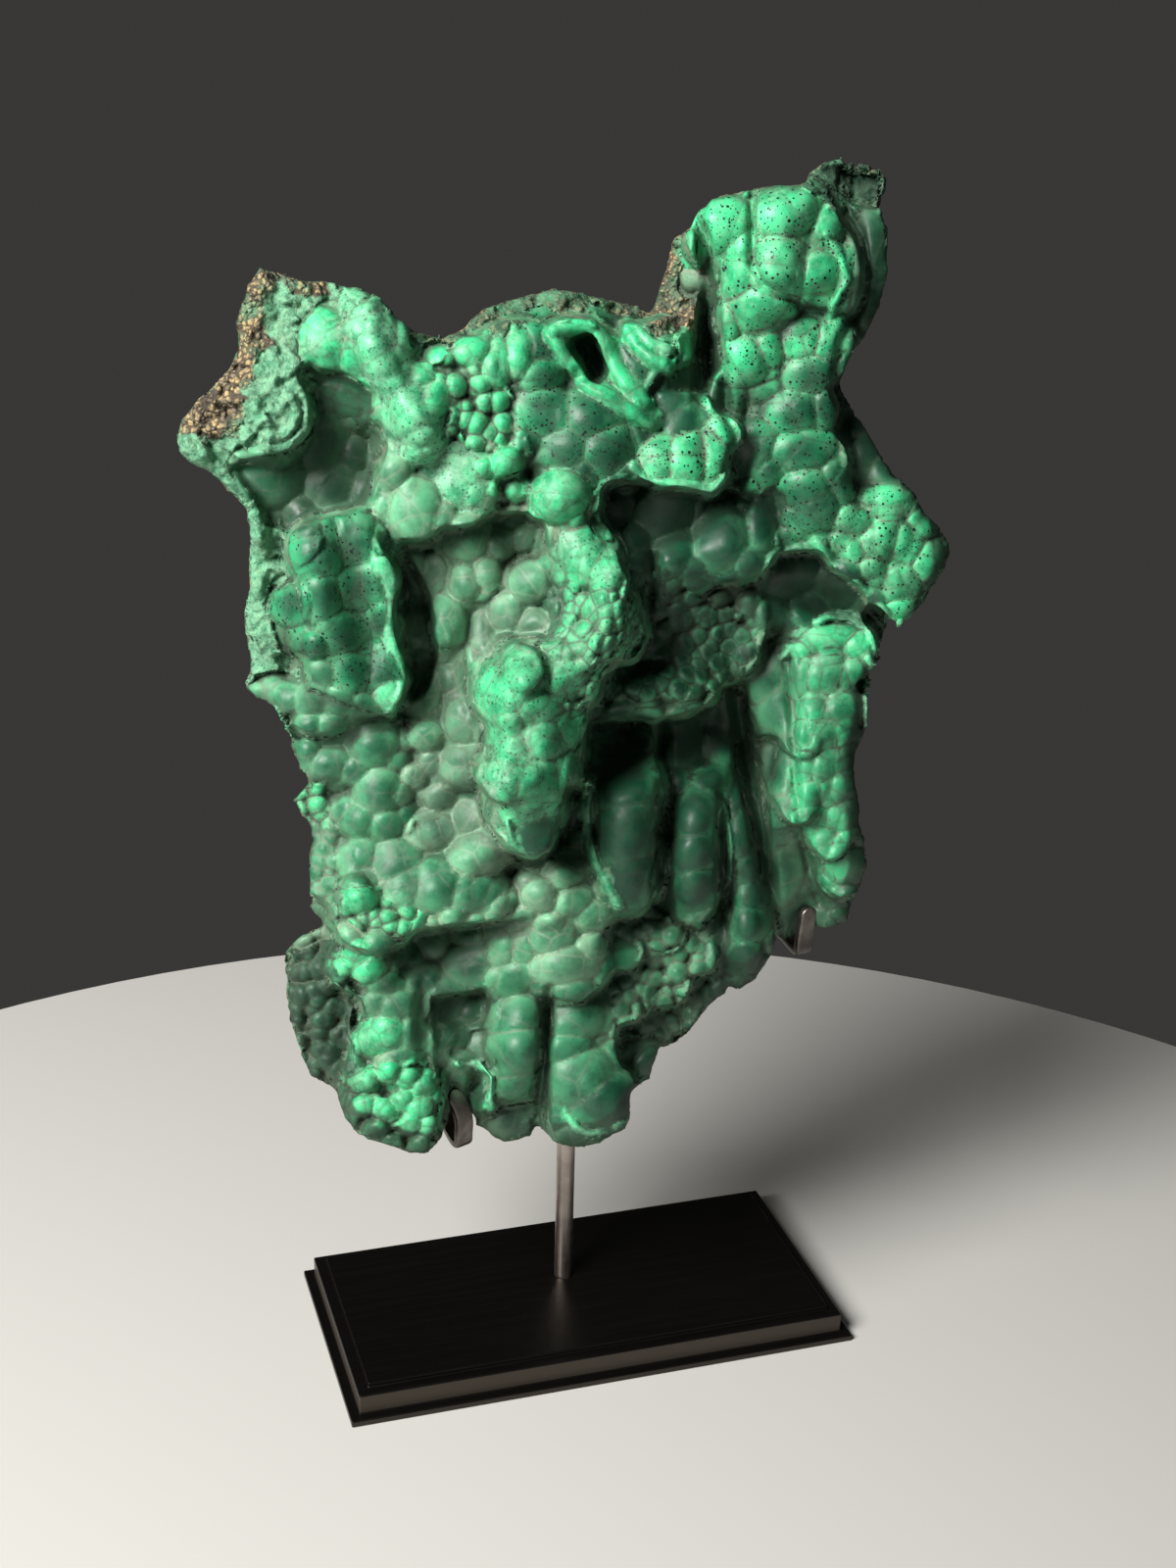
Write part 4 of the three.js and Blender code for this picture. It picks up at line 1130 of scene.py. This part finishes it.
def flank_share(stone, points):
    """One on flanks that turn away from the eye, none on the open front and back, and the outward normals."""
    normals = np.empty(3 * len(points), dtype=np.float32)
    stone.data.vertices.foreach_get("normal", normals)
    normals = normals.reshape(-1, 3)
    sight = (points - EYE) / np.linalg.norm(points - EYE, axis=1)[:, None]
    facing = np.abs((normals * sight).sum(axis=1))
    return np.clip((FLANK_FROM - facing) / FLANK_RANGE, 0, 1), normals


def grow_flanks(stone):
    """The flanks and sides smoothed along the sight lines and given rounded cells of their own."""
    points, _ = arrays_of(stone)
    share, _ = flank_share(stone, points)
    group = stone.vertex_groups.new(name="flank")
    group.add(np.flatnonzero(share > FLANK_LEAST).tolist(), 1.0, "REPLACE")
    finish_with(stone, "SMOOTH", factor=0.7, iterations=FLANK_ROUNDS, vertex_group="flank")
    points, _ = arrays_of(stone)
    share, normals = flank_share(stone, points)
    size = CELL_SIZES[MIDDLE]
    gap = cells_at(points, size)[0]
    sink = share * FLANK_CELLS * size * np.clip(1.0 - dome(gap), 0.0, FLANK_DEEPEST)
    stone.data.vertices.foreach_set("co", ((points - normals * sink[:, None]) * MM).ravel())
    stone.vertex_groups.clear()
    stone.data.update()


def wall_rows(points, rim, offset):
    """The torn side between the rims of the front and the back, in rows that bulge a little."""
    front, back = points
    count = len(front)
    names = np.unique(rim)
    place = {int(name): row for row, name in enumerate(names)}
    outward = np.zeros((count, 3))
    edge = front[rim[:, 1]] - front[rim[:, 0]]
    along = back[rim[:, 0]] - front[rim[:, 0]]
    normal = np.cross(edge, along)
    normal /= np.maximum(np.linalg.norm(normal, axis=1), 1e-9)[:, None]
    np.add.at(outward, rim[:, 0], normal)
    np.add.at(outward, rim[:, 1], normal)
    outward = outward[names]
    outward /= np.maximum(np.linalg.norm(outward, axis=1), 1e-9)[:, None]
    rows = []
    for step in range(1, WALL_ROWS):
        share = step / WALL_ROWS
        line = front[names] * (1 - share) + back[names] * share
        bulge = np.array([
            sum(rise * bumps.noise(Vector(point) / size) for rise, size in WALL_BUMPS) for point in line
        ])
        rows.append(line + outward * (bulge + WALL_BULGE * math.sin(math.pi * share))[:, None])
    extra = np.vstack(rows)
    width = len(names)
    ends = np.array([[place[int(name)] for name in pair] for pair in rim])
    levels = [rim] + [offset + step * width + ends for step in range(WALL_ROWS - 1)] + [rim + count]
    walls = []
    for upper, lower in zip(levels, levels[1:]):
        walls.append(np.column_stack([upper[:, 1], upper[:, 0], lower[:, 0], lower[:, 1]]))
    return extra, np.vstack(walls)


def paint(stone, name, values):
    kind = "FLOAT_VECTOR" if values.ndim == 2 else "FLOAT"
    attribute = stone.data.attributes.new(name, kind, "POINT")
    attribute.data.foreach_set("vector" if values.ndim == 2 else "value", values.astype(np.float32).ravel())


def marks_of(side, depth, cell_size):
    """The marks of each place on the map, in the order of their names."""
    crease = np.exp(-np.clip(side.height - side.second, 0, -BURIED) / CREASE_FADE)
    hollow = np.clip(0.5 + (depth - blurred(depth, HOLLOW_BLUR)) / HOLLOW_RANGE, 0, 1)
    dip = np.clip(0.5 + (depth - blurred(depth, DIP_BLUR)) / DIP_RANGE, 0, 1)
    tint = np.random.default_rng(SEED).uniform(-1, 1, side.lumps + 1)[side.owner]
    columns = [look_map(side, column) for column in range(5)]
    rough = np.isin(side.finish, [FINISH_NAMES.index(name) for name in ROCKY + ("back",)]) * 1.0
    lump = (side.owner > 0) * 1.0
    slope = np.hypot(*np.gradient(depth, STEP))
    steep = np.clip((slope - STEEP_FROM) / STEEP_RANGE, 0, 1)
    return columns + [crease, hollow, dip, tint, lump, cell_size / SMALL, rough, side.rim, steep]


def mark_stone(stone, face, front, back):
    """Each point takes the marks of its place on the map, from the front or from the back."""
    points, _ = arrays_of(stone)
    distance = np.linalg.norm(points - EYE, axis=1)
    across, up = on_face(points)
    i = np.clip(np.round((across - WEST) / STEP).astype(int), 0, face.across.shape[0] - 1)
    j = np.clip(np.round((up - FOOT) / STEP).astype(int), 0, face.across.shape[1] - 1)
    ahead = np.abs(distance - front[i, j]) < np.abs(distance - back[i, j])
    front_marks = marks_of(face.front_side, front, face.cell_size)
    back_marks = marks_of(face.back_side, -back, np.zeros_like(back))
    off = np.minimum(np.abs(distance - front[i, j]), np.abs(distance - back[i, j]))
    away = np.clip((off - FLANK_NEAR) / FLANK_FADE, 0, 1)
    for name, seen, behind in zip(MARKS, front_marks, back_marks):
        values = np.where(ahead, seen[i, j], behind[i, j])
        paint(stone, name, values * (1 - away) + FLANK_LOOK[name] * away)
    near = np.abs(distance - front[i, j]) < REST_NEAR
    sight = (points - EYE) / distance[:, None]
    rest = np.where(near[:, None], EYE + sight * face.front[i, j][:, None], points)
    paint(stone, "rest", rest * MM)


# Node building in few words
def node(tree, kind, settings=None, **inputs):
    made = tree.nodes.new(kind)
    for key, value in (settings or {}).items():
        setattr(made, key, value)
    for key, value in inputs.items():
        socket = made.inputs[int(key[1:]) if key[1:].isdigit() else key.replace("_", " ")]
        if isinstance(value, bpy.types.NodeSocket):
            tree.links.new(value, socket)
        else:
            socket.default_value = value
    return made


def blank_material(name):
    material = bpy.data.materials.new(name)
    material.use_nodes = True
    return material, material.node_tree, material.node_tree.nodes["Principled BSDF"]


def fact(tree, name):
    return node(tree, "ShaderNodeAttribute", {"attribute_name": name}).outputs["Fac"]


def spot(tree):
    return node(tree, "ShaderNodeTexCoord").outputs["Object"]


def noise(tree, scale, detail=4.0, rough=0.55, where=None):
    made = node(tree, "ShaderNodeTexNoise", Scale=scale, Detail=detail, Roughness=rough)
    tree.links.new(where or spot(tree), made.inputs["Vector"])
    return made.outputs["Fac"]


def math_node(tree, operation, first, second=0.0, clamp=False):
    return node(tree, "ShaderNodeMath", {"operation": operation, "use_clamp": clamp},
                _0=first, _1=second).outputs[0]


def span(tree, value, low, high, start=0.0, end=1.0):
    return node(tree, "ShaderNodeMapRange", {"interpolation_type": "SMOOTHSTEP"},
                _0=value, _1=low, _2=high, _3=start, _4=end).outputs[0]


def blend(tree, share, first, second):
    made = node(tree, "ShaderNodeMix", {"data_type": "RGBA"})
    for socket, value in zip((made.inputs[0], made.inputs[6], made.inputs[7]), (share, first, second)):
        if isinstance(value, bpy.types.NodeSocket):
            tree.links.new(value, socket)
        elif socket.type == "RGBA":
            socket.default_value = (*value, 1.0)
        else:
            socket.default_value = value
    return made.outputs[2]


def rest_place(tree):
    return node(tree, "ShaderNodeAttribute", {"attribute_name": "rest"}).outputs["Vector"]


def cell_lines(tree):
    """Gap from the nearest crease of the skin's cells, in millimetres, for the cell size of the place."""
    gaps = []
    for size in CELL_SIZES:
        cells = node(tree, "ShaderNodeTexVoronoi", {"feature": "DISTANCE_TO_EDGE"}, Vector=rest_place(tree),
                     Scale=1.0 / (size * MM))
        gaps.append(math_node(tree, "MULTIPLY", cells.outputs["Distance"], size))
    layer = fact(tree, "layer")
    chosen = gaps[LARGE]
    for limit, gap in ((0.25, gaps[MIDDLE]), (0.75, gaps[SMALL])):
        finer = math_node(tree, "GREATER_THAN", layer, limit)
        chosen = node(tree, "ShaderNodeMix", _0=finer, _2=chosen, _3=gap).outputs[0]
    return chosen


def crease_masks(tree):
    """Thin creases and a wide halo beside them: of the skin's cells, and round the lumps."""
    gap = cell_lines(tree)
    bare = math_node(tree, "MULTIPLY", span(tree, fact(tree, "lump"), 0.0, 1.0, 1.0, LUMP_CREASES),
                     math_node(tree, "SUBTRACT", 1.0, fact(tree, "rough"), True))
    masks = []
    for reach, low, high in (CREASE_LINE, CREASE_HALO):
        skin = math_node(tree, "MULTIPLY", span(tree, gap, CREASE_CORE, reach, 1.0, 0.0), bare)
        masks.append(math_node(tree, "MAXIMUM", skin, span(tree, fact(tree, "crease"), low, high)))
    return masks


def pit_layer(tree, scale, rare, size):
    cells = node(tree, "ShaderNodeTexVoronoi", {"feature": "F1"}, Scale=scale)
    tree.links.new(spot(tree), cells.inputs["Vector"])
    chance = node(tree, "ShaderNodeSeparateColor")
    tree.links.new(cells.outputs["Color"], chance.inputs[0])
    reach = span(tree, chance.outputs[0], rare, 1.0, 0.0, size)
    return math_node(tree, "LESS_THAN", cells.outputs["Distance"], reach)


def pit_mask(tree):
    """Pits in three sizes, the finest of them in fields."""
    large, middle, fine = (pit_layer(tree, *row) for row in PITS)
    large = math_node(tree, "MAXIMUM", large, middle)
    fine = math_node(tree, "MULTIPLY", fine, span(tree, noise(tree, *PIT_FIELDS), 0.45, 0.55))
    return math_node(tree, "MULTIPLY", math_node(tree, "MAXIMUM", large, fine), fact(tree, "pits"))


def crumbs(tree):
    """Grains of the broken crust: their height, and a random tone for each."""
    cells = node(tree, "ShaderNodeTexVoronoi", {"feature": "F1"}, Scale=CRUMB_SCALE)
    tree.links.new(spot(tree), cells.inputs["Vector"])
    tone = node(tree, "ShaderNodeSeparateColor")
    tree.links.new(cells.outputs["Color"], tone.inputs[0])
    return span(tree, cells.outputs["Distance"], 0.15, 0.75, 1.0, 0.0), tone.outputs[0]


def green_layers(tree):
    """The stone's greens: dusty to fresh, a pale film on the fresh parts, and the deep green over them,
    partly painted shade.
    """
    mottle = noise(tree, *MOTTLE)
    rim = fact(tree, "rim")
    green = math_node(tree, "ADD", fact(tree, "green"), math_node(tree, "MULTIPLY", fact(tree, "tint"), 0.10))
    green = math_node(tree, "SUBTRACT", green, span(tree, fact(tree, "hollow"), 0.5, 0.9, 0.0, 0.2), True)
    fresh = blend(tree, span(tree, mottle, 0.36, 0.60), CLEAR_GREEN, BRIGHT_GREEN)
    edge = math_node(tree, "ADD", span(tree, rim, *RIM_FADE, 0.0, 0.72),
                     span(tree, mottle, 0.36, 0.62, 0.0, 0.28))
    dusty = blend(tree, edge, SAGE, DUSTY_GREEN)
    colour = blend(tree, green, dusty, fresh)
    clouds = span(tree, noise(tree, *FILM_CLOUDS), 0.44, 0.62)
    film = math_node(tree, "MULTIPLY", clouds, fact(tree, "green"))
    film = math_node(tree, "MULTIPLY", film, span(tree, rim, *RIM_FADE, 0.35, 0.75))
    colour = blend(tree, film, colour, FILM)
    # Partly painted shade: the deep value darkens parts in the shade of overhangs, besides the stone's own
    # darker green
    deep = math_node(tree, "MULTIPLY", fact(tree, "deep"), span(tree, rim, *RIM_FADE, 1.15, 0.62), True)
    colour = blend(tree, math_node(tree, "MULTIPLY", deep, 0.9), colour, DEEP_GREEN_AND_SHADE)
    return colour, green


def dust_layers(tree, colour, green, line, halo):
    """Dust in dips and beside creases, the creases' own threads, partly painted shade, and painted shade in
    the hollows, on steep flanks and at the feet of lumps.
    """
    dip = fact(tree, "dip")
    dips = math_node(tree, "MULTIPLY", span(tree, dip, 0.5, 0.8, 0.0, 0.6),
                     span(tree, dip, 0.85, 1.0, 1.0, 0.0))
    beside = math_node(tree, "MULTIPLY", halo, span(tree, noise(tree, *PATCHES), 0.35, 0.6, 0.2, 0.75))
    loose = math_node(tree, "ADD", dips, beside, True)
    loose = math_node(tree, "MULTIPLY", loose, span(tree, noise(tree, *SPECKS), 0.32, 0.58, 0.25, 0.85))
    dry = math_node(tree, "SUBTRACT", 1.0, math_node(tree, "MULTIPLY", fact(tree, "deep"), 0.7))
    colour = blend(tree, math_node(tree, "MULTIPLY", loose, dry), colour, DUST)
    # Threads along the creases: pale chalk on dusty parts, dark on fresh and deep parts; the dark threads are
    # partly dust and partly painted shade in the creases
    thread = blend(tree, span(tree, fact(tree, "green"), 0.5, 0.85), CHALK, SEAM_DUST_AND_SHADE)
    thread = blend(tree, math_node(tree, "MULTIPLY", fact(tree, "deep"), 0.8), thread, DEEP_GREEN_AND_SHADE)
    colour = blend(tree, math_node(tree, "MULTIPLY", line, 0.72), colour, thread)
    # Painted shade: hollows are darkened towards a near-black green, where shade falls between lumps
    shade = math_node(tree, "MULTIPLY", span(tree, fact(tree, "hollow"), 0.56, 0.88, 0.0, 0.8),
                      span(tree, green, 0.1, 0.6, 0.5, 1.0))
    colour = blend(tree, shade, colour, HOLLOW_SHADE)
    # Painted shadow: steep flanks and the feet of lumps are darkened, as contact shadow
    foot = math_node(tree, "MAXIMUM", span(tree, fact(tree, "steep"), 0.0, 1.0, 0.0, 0.5),
                     span(tree, fact(tree, "rim"), 1.0, 1.2, 0.0, 0.7))
    return blend(tree, foot, colour, SEAM_DUST_AND_SHADE)


def rock_layers(tree, colour):
    """Pale fibrous breaks, and the brown crumbs of the matrix."""
    mint = blend(tree, span(tree, noise(tree, *FIBRES), 0.46, 0.58), MINT, FIBRE)
    colour = blend(tree, fact(tree, "pale"), colour, mint)
    grain, tone = crumbs(tree)
    earth = blend(tree, span(tree, tone, 0.25, 0.75), TAN, OCHRE)
    earth = blend(tree, span(tree, noise(tree, *EARTH_CLOUDS), 0.50, 0.62), earth, BROWN)
    earth = blend(tree, span(tree, grain, 0.15, 0.45, 0.85, 0.0), earth, BROWN)
    share = span(tree, noise(tree, *STAINS), 0.36, 0.52, 0.35, 1.0)
    return blend(tree, math_node(tree, "MULTIPLY", fact(tree, "rock"), share), colour, earth)


def stone_colour(tree, line, halo):
    colour, green = green_layers(tree)
    colour = dust_layers(tree, colour, green, line, halo)
    colour = rock_layers(tree, colour)
    return blend(tree, pit_mask(tree), colour, PIT)


def stone_material():
    material, tree, shader = blank_material("malachite")
    line, halo = crease_masks(tree)
    tree.links.new(stone_colour(tree, line, halo), shader.inputs["Base Color"])
    wear = math_node(tree, "ADD", span(tree, fact(tree, "green"), 0.0, 1.0, 0.48, 0.46),
                     math_node(tree, "MULTIPLY", fact(tree, "rough"), 0.35), True)
    wear = math_node(tree, "ADD", wear, math_node(tree, "MULTIPLY", halo, 0.22), True)
    tree.links.new(wear, shader.inputs["Roughness"])
    shader.inputs["Specular IOR Level"].default_value = STONE_SHINE
    grain = math_node(tree, "MULTIPLY", noise(tree, *GRAIN), 0.10)
    crust = math_node(tree, "ADD", math_node(tree, "MULTIPLY", crumbs(tree)[0], fact(tree, "rock")),
                      noise(tree, *CRUST))
    rough = math_node(tree, "MULTIPLY", crust, math_node(tree, "MULTIPLY", fact(tree, "rough"), 2.0))
    height = math_node(tree, "ADD", grain, rough)
    bump = node(tree, "ShaderNodeBump", Strength=0.8, Distance=0.0008, Height=height)
    tree.links.new(bump.outputs[0], shader.inputs["Normal"])
    return material


def wood_material():
    material, tree, shader = blank_material("black_wood")
    stretch = node(tree, "ShaderNodeMapping", Vector=spot(tree), Scale=(0.06, 1.0, 1.0)).outputs[0]
    grain = noise(tree, *WOOD_GRAIN, stretch)
    colour = blend(tree, span(tree, grain, 0.35, 0.7), BLACK_DARK, BLACK_LIGHT)
    height = node(tree, "ShaderNodeSeparateXYZ", Vector=spot(tree)).outputs["Z"]
    # Painted light and reflection: the sides of the lower steps are a lighter brown, while the tops stay
    # black
    below = span(tree, height, *LIT_SIDE_TO, 1.0, 0.0)
    lit_sides = math_node(tree, "MULTIPLY", span(tree, height, *LIT_SIDE_FROM), below)
    lit_sides = math_node(tree, "MAXIMUM", lit_sides, span(tree, height, *LIT_FOOT_SIDE, 0.6, 0.0))
    colour = blend(tree, lit_sides, colour, LIT_SIDE_BROWN)
    tree.links.new(colour, shader.inputs["Base Color"])
    tree.links.new(span(tree, grain, 0.3, 0.7, 0.32, 0.38), shader.inputs["Roughness"])
    shader.inputs["Specular IOR Level"].default_value = WOOD_SHINE
    shader.inputs["Specular Tint"].default_value = WOOD_SHINE_TINT
    bump = node(tree, "ShaderNodeBump", Strength=0.05, Distance=0.0002, Height=grain)
    tree.links.new(bump.outputs[0], shader.inputs["Normal"])
    return material


def steel_material(name, light, dark, smooth):
    material, tree, shader = blank_material(name)
    stretch = node(tree, "ShaderNodeMapping", Vector=spot(tree), Scale=(1.0, 1.0, 0.04)).outputs[0]
    brush = noise(tree, *STEEL_BRUSH, stretch)
    stain = noise(tree, *STEEL_STAIN)
    colour = blend(tree, span(tree, stain, 0.35, 0.65), dark, light)
    tree.links.new(colour, shader.inputs["Base Color"])
    shader.inputs["Metallic"].default_value = 1.0
    tree.links.new(span(tree, brush, 0.3, 0.7, smooth, smooth + STEEL_SPREAD), shader.inputs["Roughness"])
    bump = node(tree, "ShaderNodeBump", Strength=0.15, Distance=0.0002, Height=brush)
    tree.links.new(bump.outputs[0], shader.inputs["Normal"])
    return material


def place_piece(piece, material, replaced):
    piece.data.materials.clear()
    piece.data.materials.append(material)
    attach(piece, "root")
    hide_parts(replaced)


def stone_piece():
    face = Face()
    grow_skin(face)
    grow_lumps(face)
    grow_back(face)
    stone, front, back = fused_stone(face)
    mark_stone(stone, face, front, back)
    only(stone)
    bpy.ops.object.shade_smooth()
    place_piece(stone, stone_material(), "malachite")


def eased_piece(node_name, name, width, material):
    """A stand piece with its flat faces joined and its arrises eased."""
    piece = copy_of_node(node_name, name)
    bpy.ops.object.mode_set(mode="EDIT")
    bpy.ops.mesh.select_all(action="SELECT")
    bpy.ops.mesh.dissolve_limited(angle_limit=math.radians(FLAT_ANGLE))
    bpy.ops.object.mode_set(mode="OBJECT")
    finish_with(piece, "BEVEL", width=width * MM, segments=3, limit_method="ANGLE",
                angle_limit=math.radians(ARRIS_ANGLE))
    only(piece)
    bpy.ops.object.shade_smooth_by_angle(angle=math.radians(SMOOTH_ANGLE))
    finish_with(piece, "WEIGHTED_NORMAL", keep_sharp=True, weight=100)
    place_piece(piece, material, node_name)


def rounded_path(places):
    """A line of places with its corners cut to soft bends."""
    path = np.array(places, dtype=float)
    for _ in range(BEND_ROUNDS):
        near, far = path[:-1], path[1:]
        between = np.stack([0.75 * near + 0.25 * far, 0.25 * near + 0.75 * far], axis=1).reshape(-1, 3)
        path = np.vstack([path[:1], between, path[-1:]])
    return path


def swept_bar(path, wide):
    """Points and triangles of a flat bar with eased edges along a path, its end rounded in its width."""
    turns = np.linspace(0, 2 * np.pi, BAR_SIDES, endpoint=False)
    across = np.sign(np.cos(turns)) * np.abs(np.cos(turns)) ** BAR_EASE * BAR_WIDE / 2
    through = np.sign(np.sin(turns)) * np.abs(np.sin(turns)) ** BAR_EASE * BAR_THICK / 2
    left = np.linalg.norm(path - path[-1], axis=1) / (BAR_WIDE / 2)
    narrow = np.sqrt(np.clip(1 - (1 - np.clip(left, 0, 1)) ** 2, 0.02, 1))
    ahead = np.gradient(path, axis=0)
    ahead /= np.linalg.norm(ahead, axis=1)[:, None]
    side = wide - (wide * ahead).sum(axis=1)[:, None] * ahead
    side /= np.linalg.norm(side, axis=1)[:, None]
    face = np.cross(ahead, side)
    rings = (path[:, None] + side[:, None] * (across[None] * narrow[:, None])[..., None]
             + face[:, None] * through[None, :, None])
    points = np.vstack([rings.reshape(-1, 3), path[:1], path[-1:]])
    rows = len(path)
    here = np.arange(rows * BAR_SIDES).reshape(rows, BAR_SIDES)
    a, b, c, d = here[:-1], np.roll(here[:-1], -1, 1), np.roll(here[1:], -1, 1), here[1:]
    walls = np.concatenate([np.stack([a, b, c], -1).reshape(-1, 3), np.stack([a, c, d], -1).reshape(-1, 3)])
    first, last = here[0], here[-1]
    foot = np.stack([np.full(BAR_SIDES, rows * BAR_SIDES), np.roll(first, -1), first], -1)
    tip = np.stack([np.full(BAR_SIDES, rows * BAR_SIDES + 1), last, np.roll(last, -1)], -1)
    return points, np.concatenate([walls, foot, tip])


def hook_piece(node_name, name, bar, material):
    """A bent bar that goes down behind the stone, under it and up in front, and its arm to the post."""
    x, arm, tips = bar["x"], bar["arm"], bar["front"]
    low = tips[0][2] - BEND
    behind = [(x, POST_Y, arm + BAR_WIDE / 2), (x, POST_Y, low + BEND), (x, POST_Y, low)]
    under = [(x, POST_Y - BEND, low), (x, tips[0][1] + BEND, low), (tips[0][0], tips[0][1], low)]
    path = rounded_path(behind + under + tips)
    share = np.clip((POST_Y - path[:, 1]) / (POST_Y - tips[0][1]), 0, 1) * math.radians(bar["turn"])
    wide = np.column_stack([np.cos(share), np.sin(share), np.zeros(len(path))])
    points, faces = swept_bar(path, wide)
    end = POST_X + math.copysign(POST_RADIUS, x - POST_X)
    steps = np.linspace(end, x, ARM_STEPS)
    arm_path = np.column_stack([steps, np.full(ARM_STEPS, POST_Y), np.full(ARM_STEPS, arm)])
    arm_points, arm_faces = swept_bar(arm_path, np.tile([0.0, 0.0, 1.0], (ARM_STEPS, 1)))
    every_face = np.vstack([faces, arm_faces + len(points)])
    piece = piece_from(name, np.vstack([points, arm_points]), every_face)
    only(piece)
    bpy.ops.object.mode_set(mode="EDIT")
    bpy.ops.mesh.select_all(action="SELECT")
    bpy.ops.mesh.normals_make_consistent(inside=False)
    bpy.ops.object.mode_set(mode="OBJECT")
    bpy.ops.object.shade_smooth_by_angle(angle=math.radians(BAR_ANGLE))
    place_piece(piece, material, node_name)


def floor_piece():
    bpy.ops.object.select_all(action="DESELECT")
    bpy.ops.mesh.primitive_circle_add(vertices=128, radius=FLOOR_RADIUS, fill_type="NGON",
                                      location=FLOOR_PLACE)
    floor = bpy.context.active_object
    floor.name = "floor"
    material, _, shader = blank_material("floor_white")
    shader.inputs["Base Color"].default_value = FLOOR_WHITE
    shader.inputs["Roughness"].default_value = FLOOR_ROUGH
    floor.data.materials.append(material)


def area_light(name, place, aim, size, power, colour):
    light = bpy.data.lights.new(name, "AREA")
    light.shape = "DISK"
    light.size = size
    light.energy = power
    light.color = colour
    lamp = bpy.data.objects.new(name, light)
    bpy.context.collection.objects.link(lamp)
    lamp.location = Vector(place)
    lamp.rotation_euler = (Vector(aim) - Vector(place)).to_track_quat("-Z", "Y").to_euler()


def studio():
    for name, row in LIGHTS.items():
        area_light(name, *row)
    world = bpy.data.worlds.new("studio_grey")
    bpy.context.scene.world = world
    world.use_nodes = True
    backdrop = world.node_tree.nodes["Background"]
    backdrop.inputs[0].default_value = STUDIO_GREY
    backdrop.inputs[1].default_value = 1.0


def photo_camera():
    a, e, roll = (math.radians(angle) for angle in (AZIMUTH, ELEVATION, ROLL))
    right = Vector((math.cos(a), math.sin(a), 0.0))
    ahead = Vector((-math.sin(a) * math.cos(e), math.cos(a) * math.cos(e), -math.sin(e)))
    up = right.cross(ahead)
    tilted = math.cos(roll) * right + math.sin(roll) * up
    upright = math.cos(roll) * up - math.sin(roll) * right
    turn = Matrix((tilted, upright, -ahead)).transposed()
    camera = bpy.data.cameras.new("camera")
    camera.lens = LENS
    camera.sensor_width = SENSOR
    holder = bpy.data.objects.new("camera", camera)
    bpy.context.collection.objects.link(holder)
    holder.matrix_world = Matrix.Translation(Vector(EYE) * MM) @ turn.to_4x4()
    bpy.context.scene.camera = holder
    bpy.context.scene.view_settings.view_transform = "Standard"


stone_piece()
eased_piece("base", "base_wood", BASE_ARRIS, wood_material())
rod_steel = steel_material("rod_steel", *ROD_STEEL)
hook_steel = steel_material("prong_steel", *HOOK_STEEL)
eased_piece("post", "steel_post", POST_ARRIS, rod_steel)
hook_piece("left_prong", "left_hook", LEFT_BAR, hook_steel)
hook_piece("right_prong", "right_hook", RIGHT_BAR, hook_steel)
floor_piece()
studio()
photo_camera()
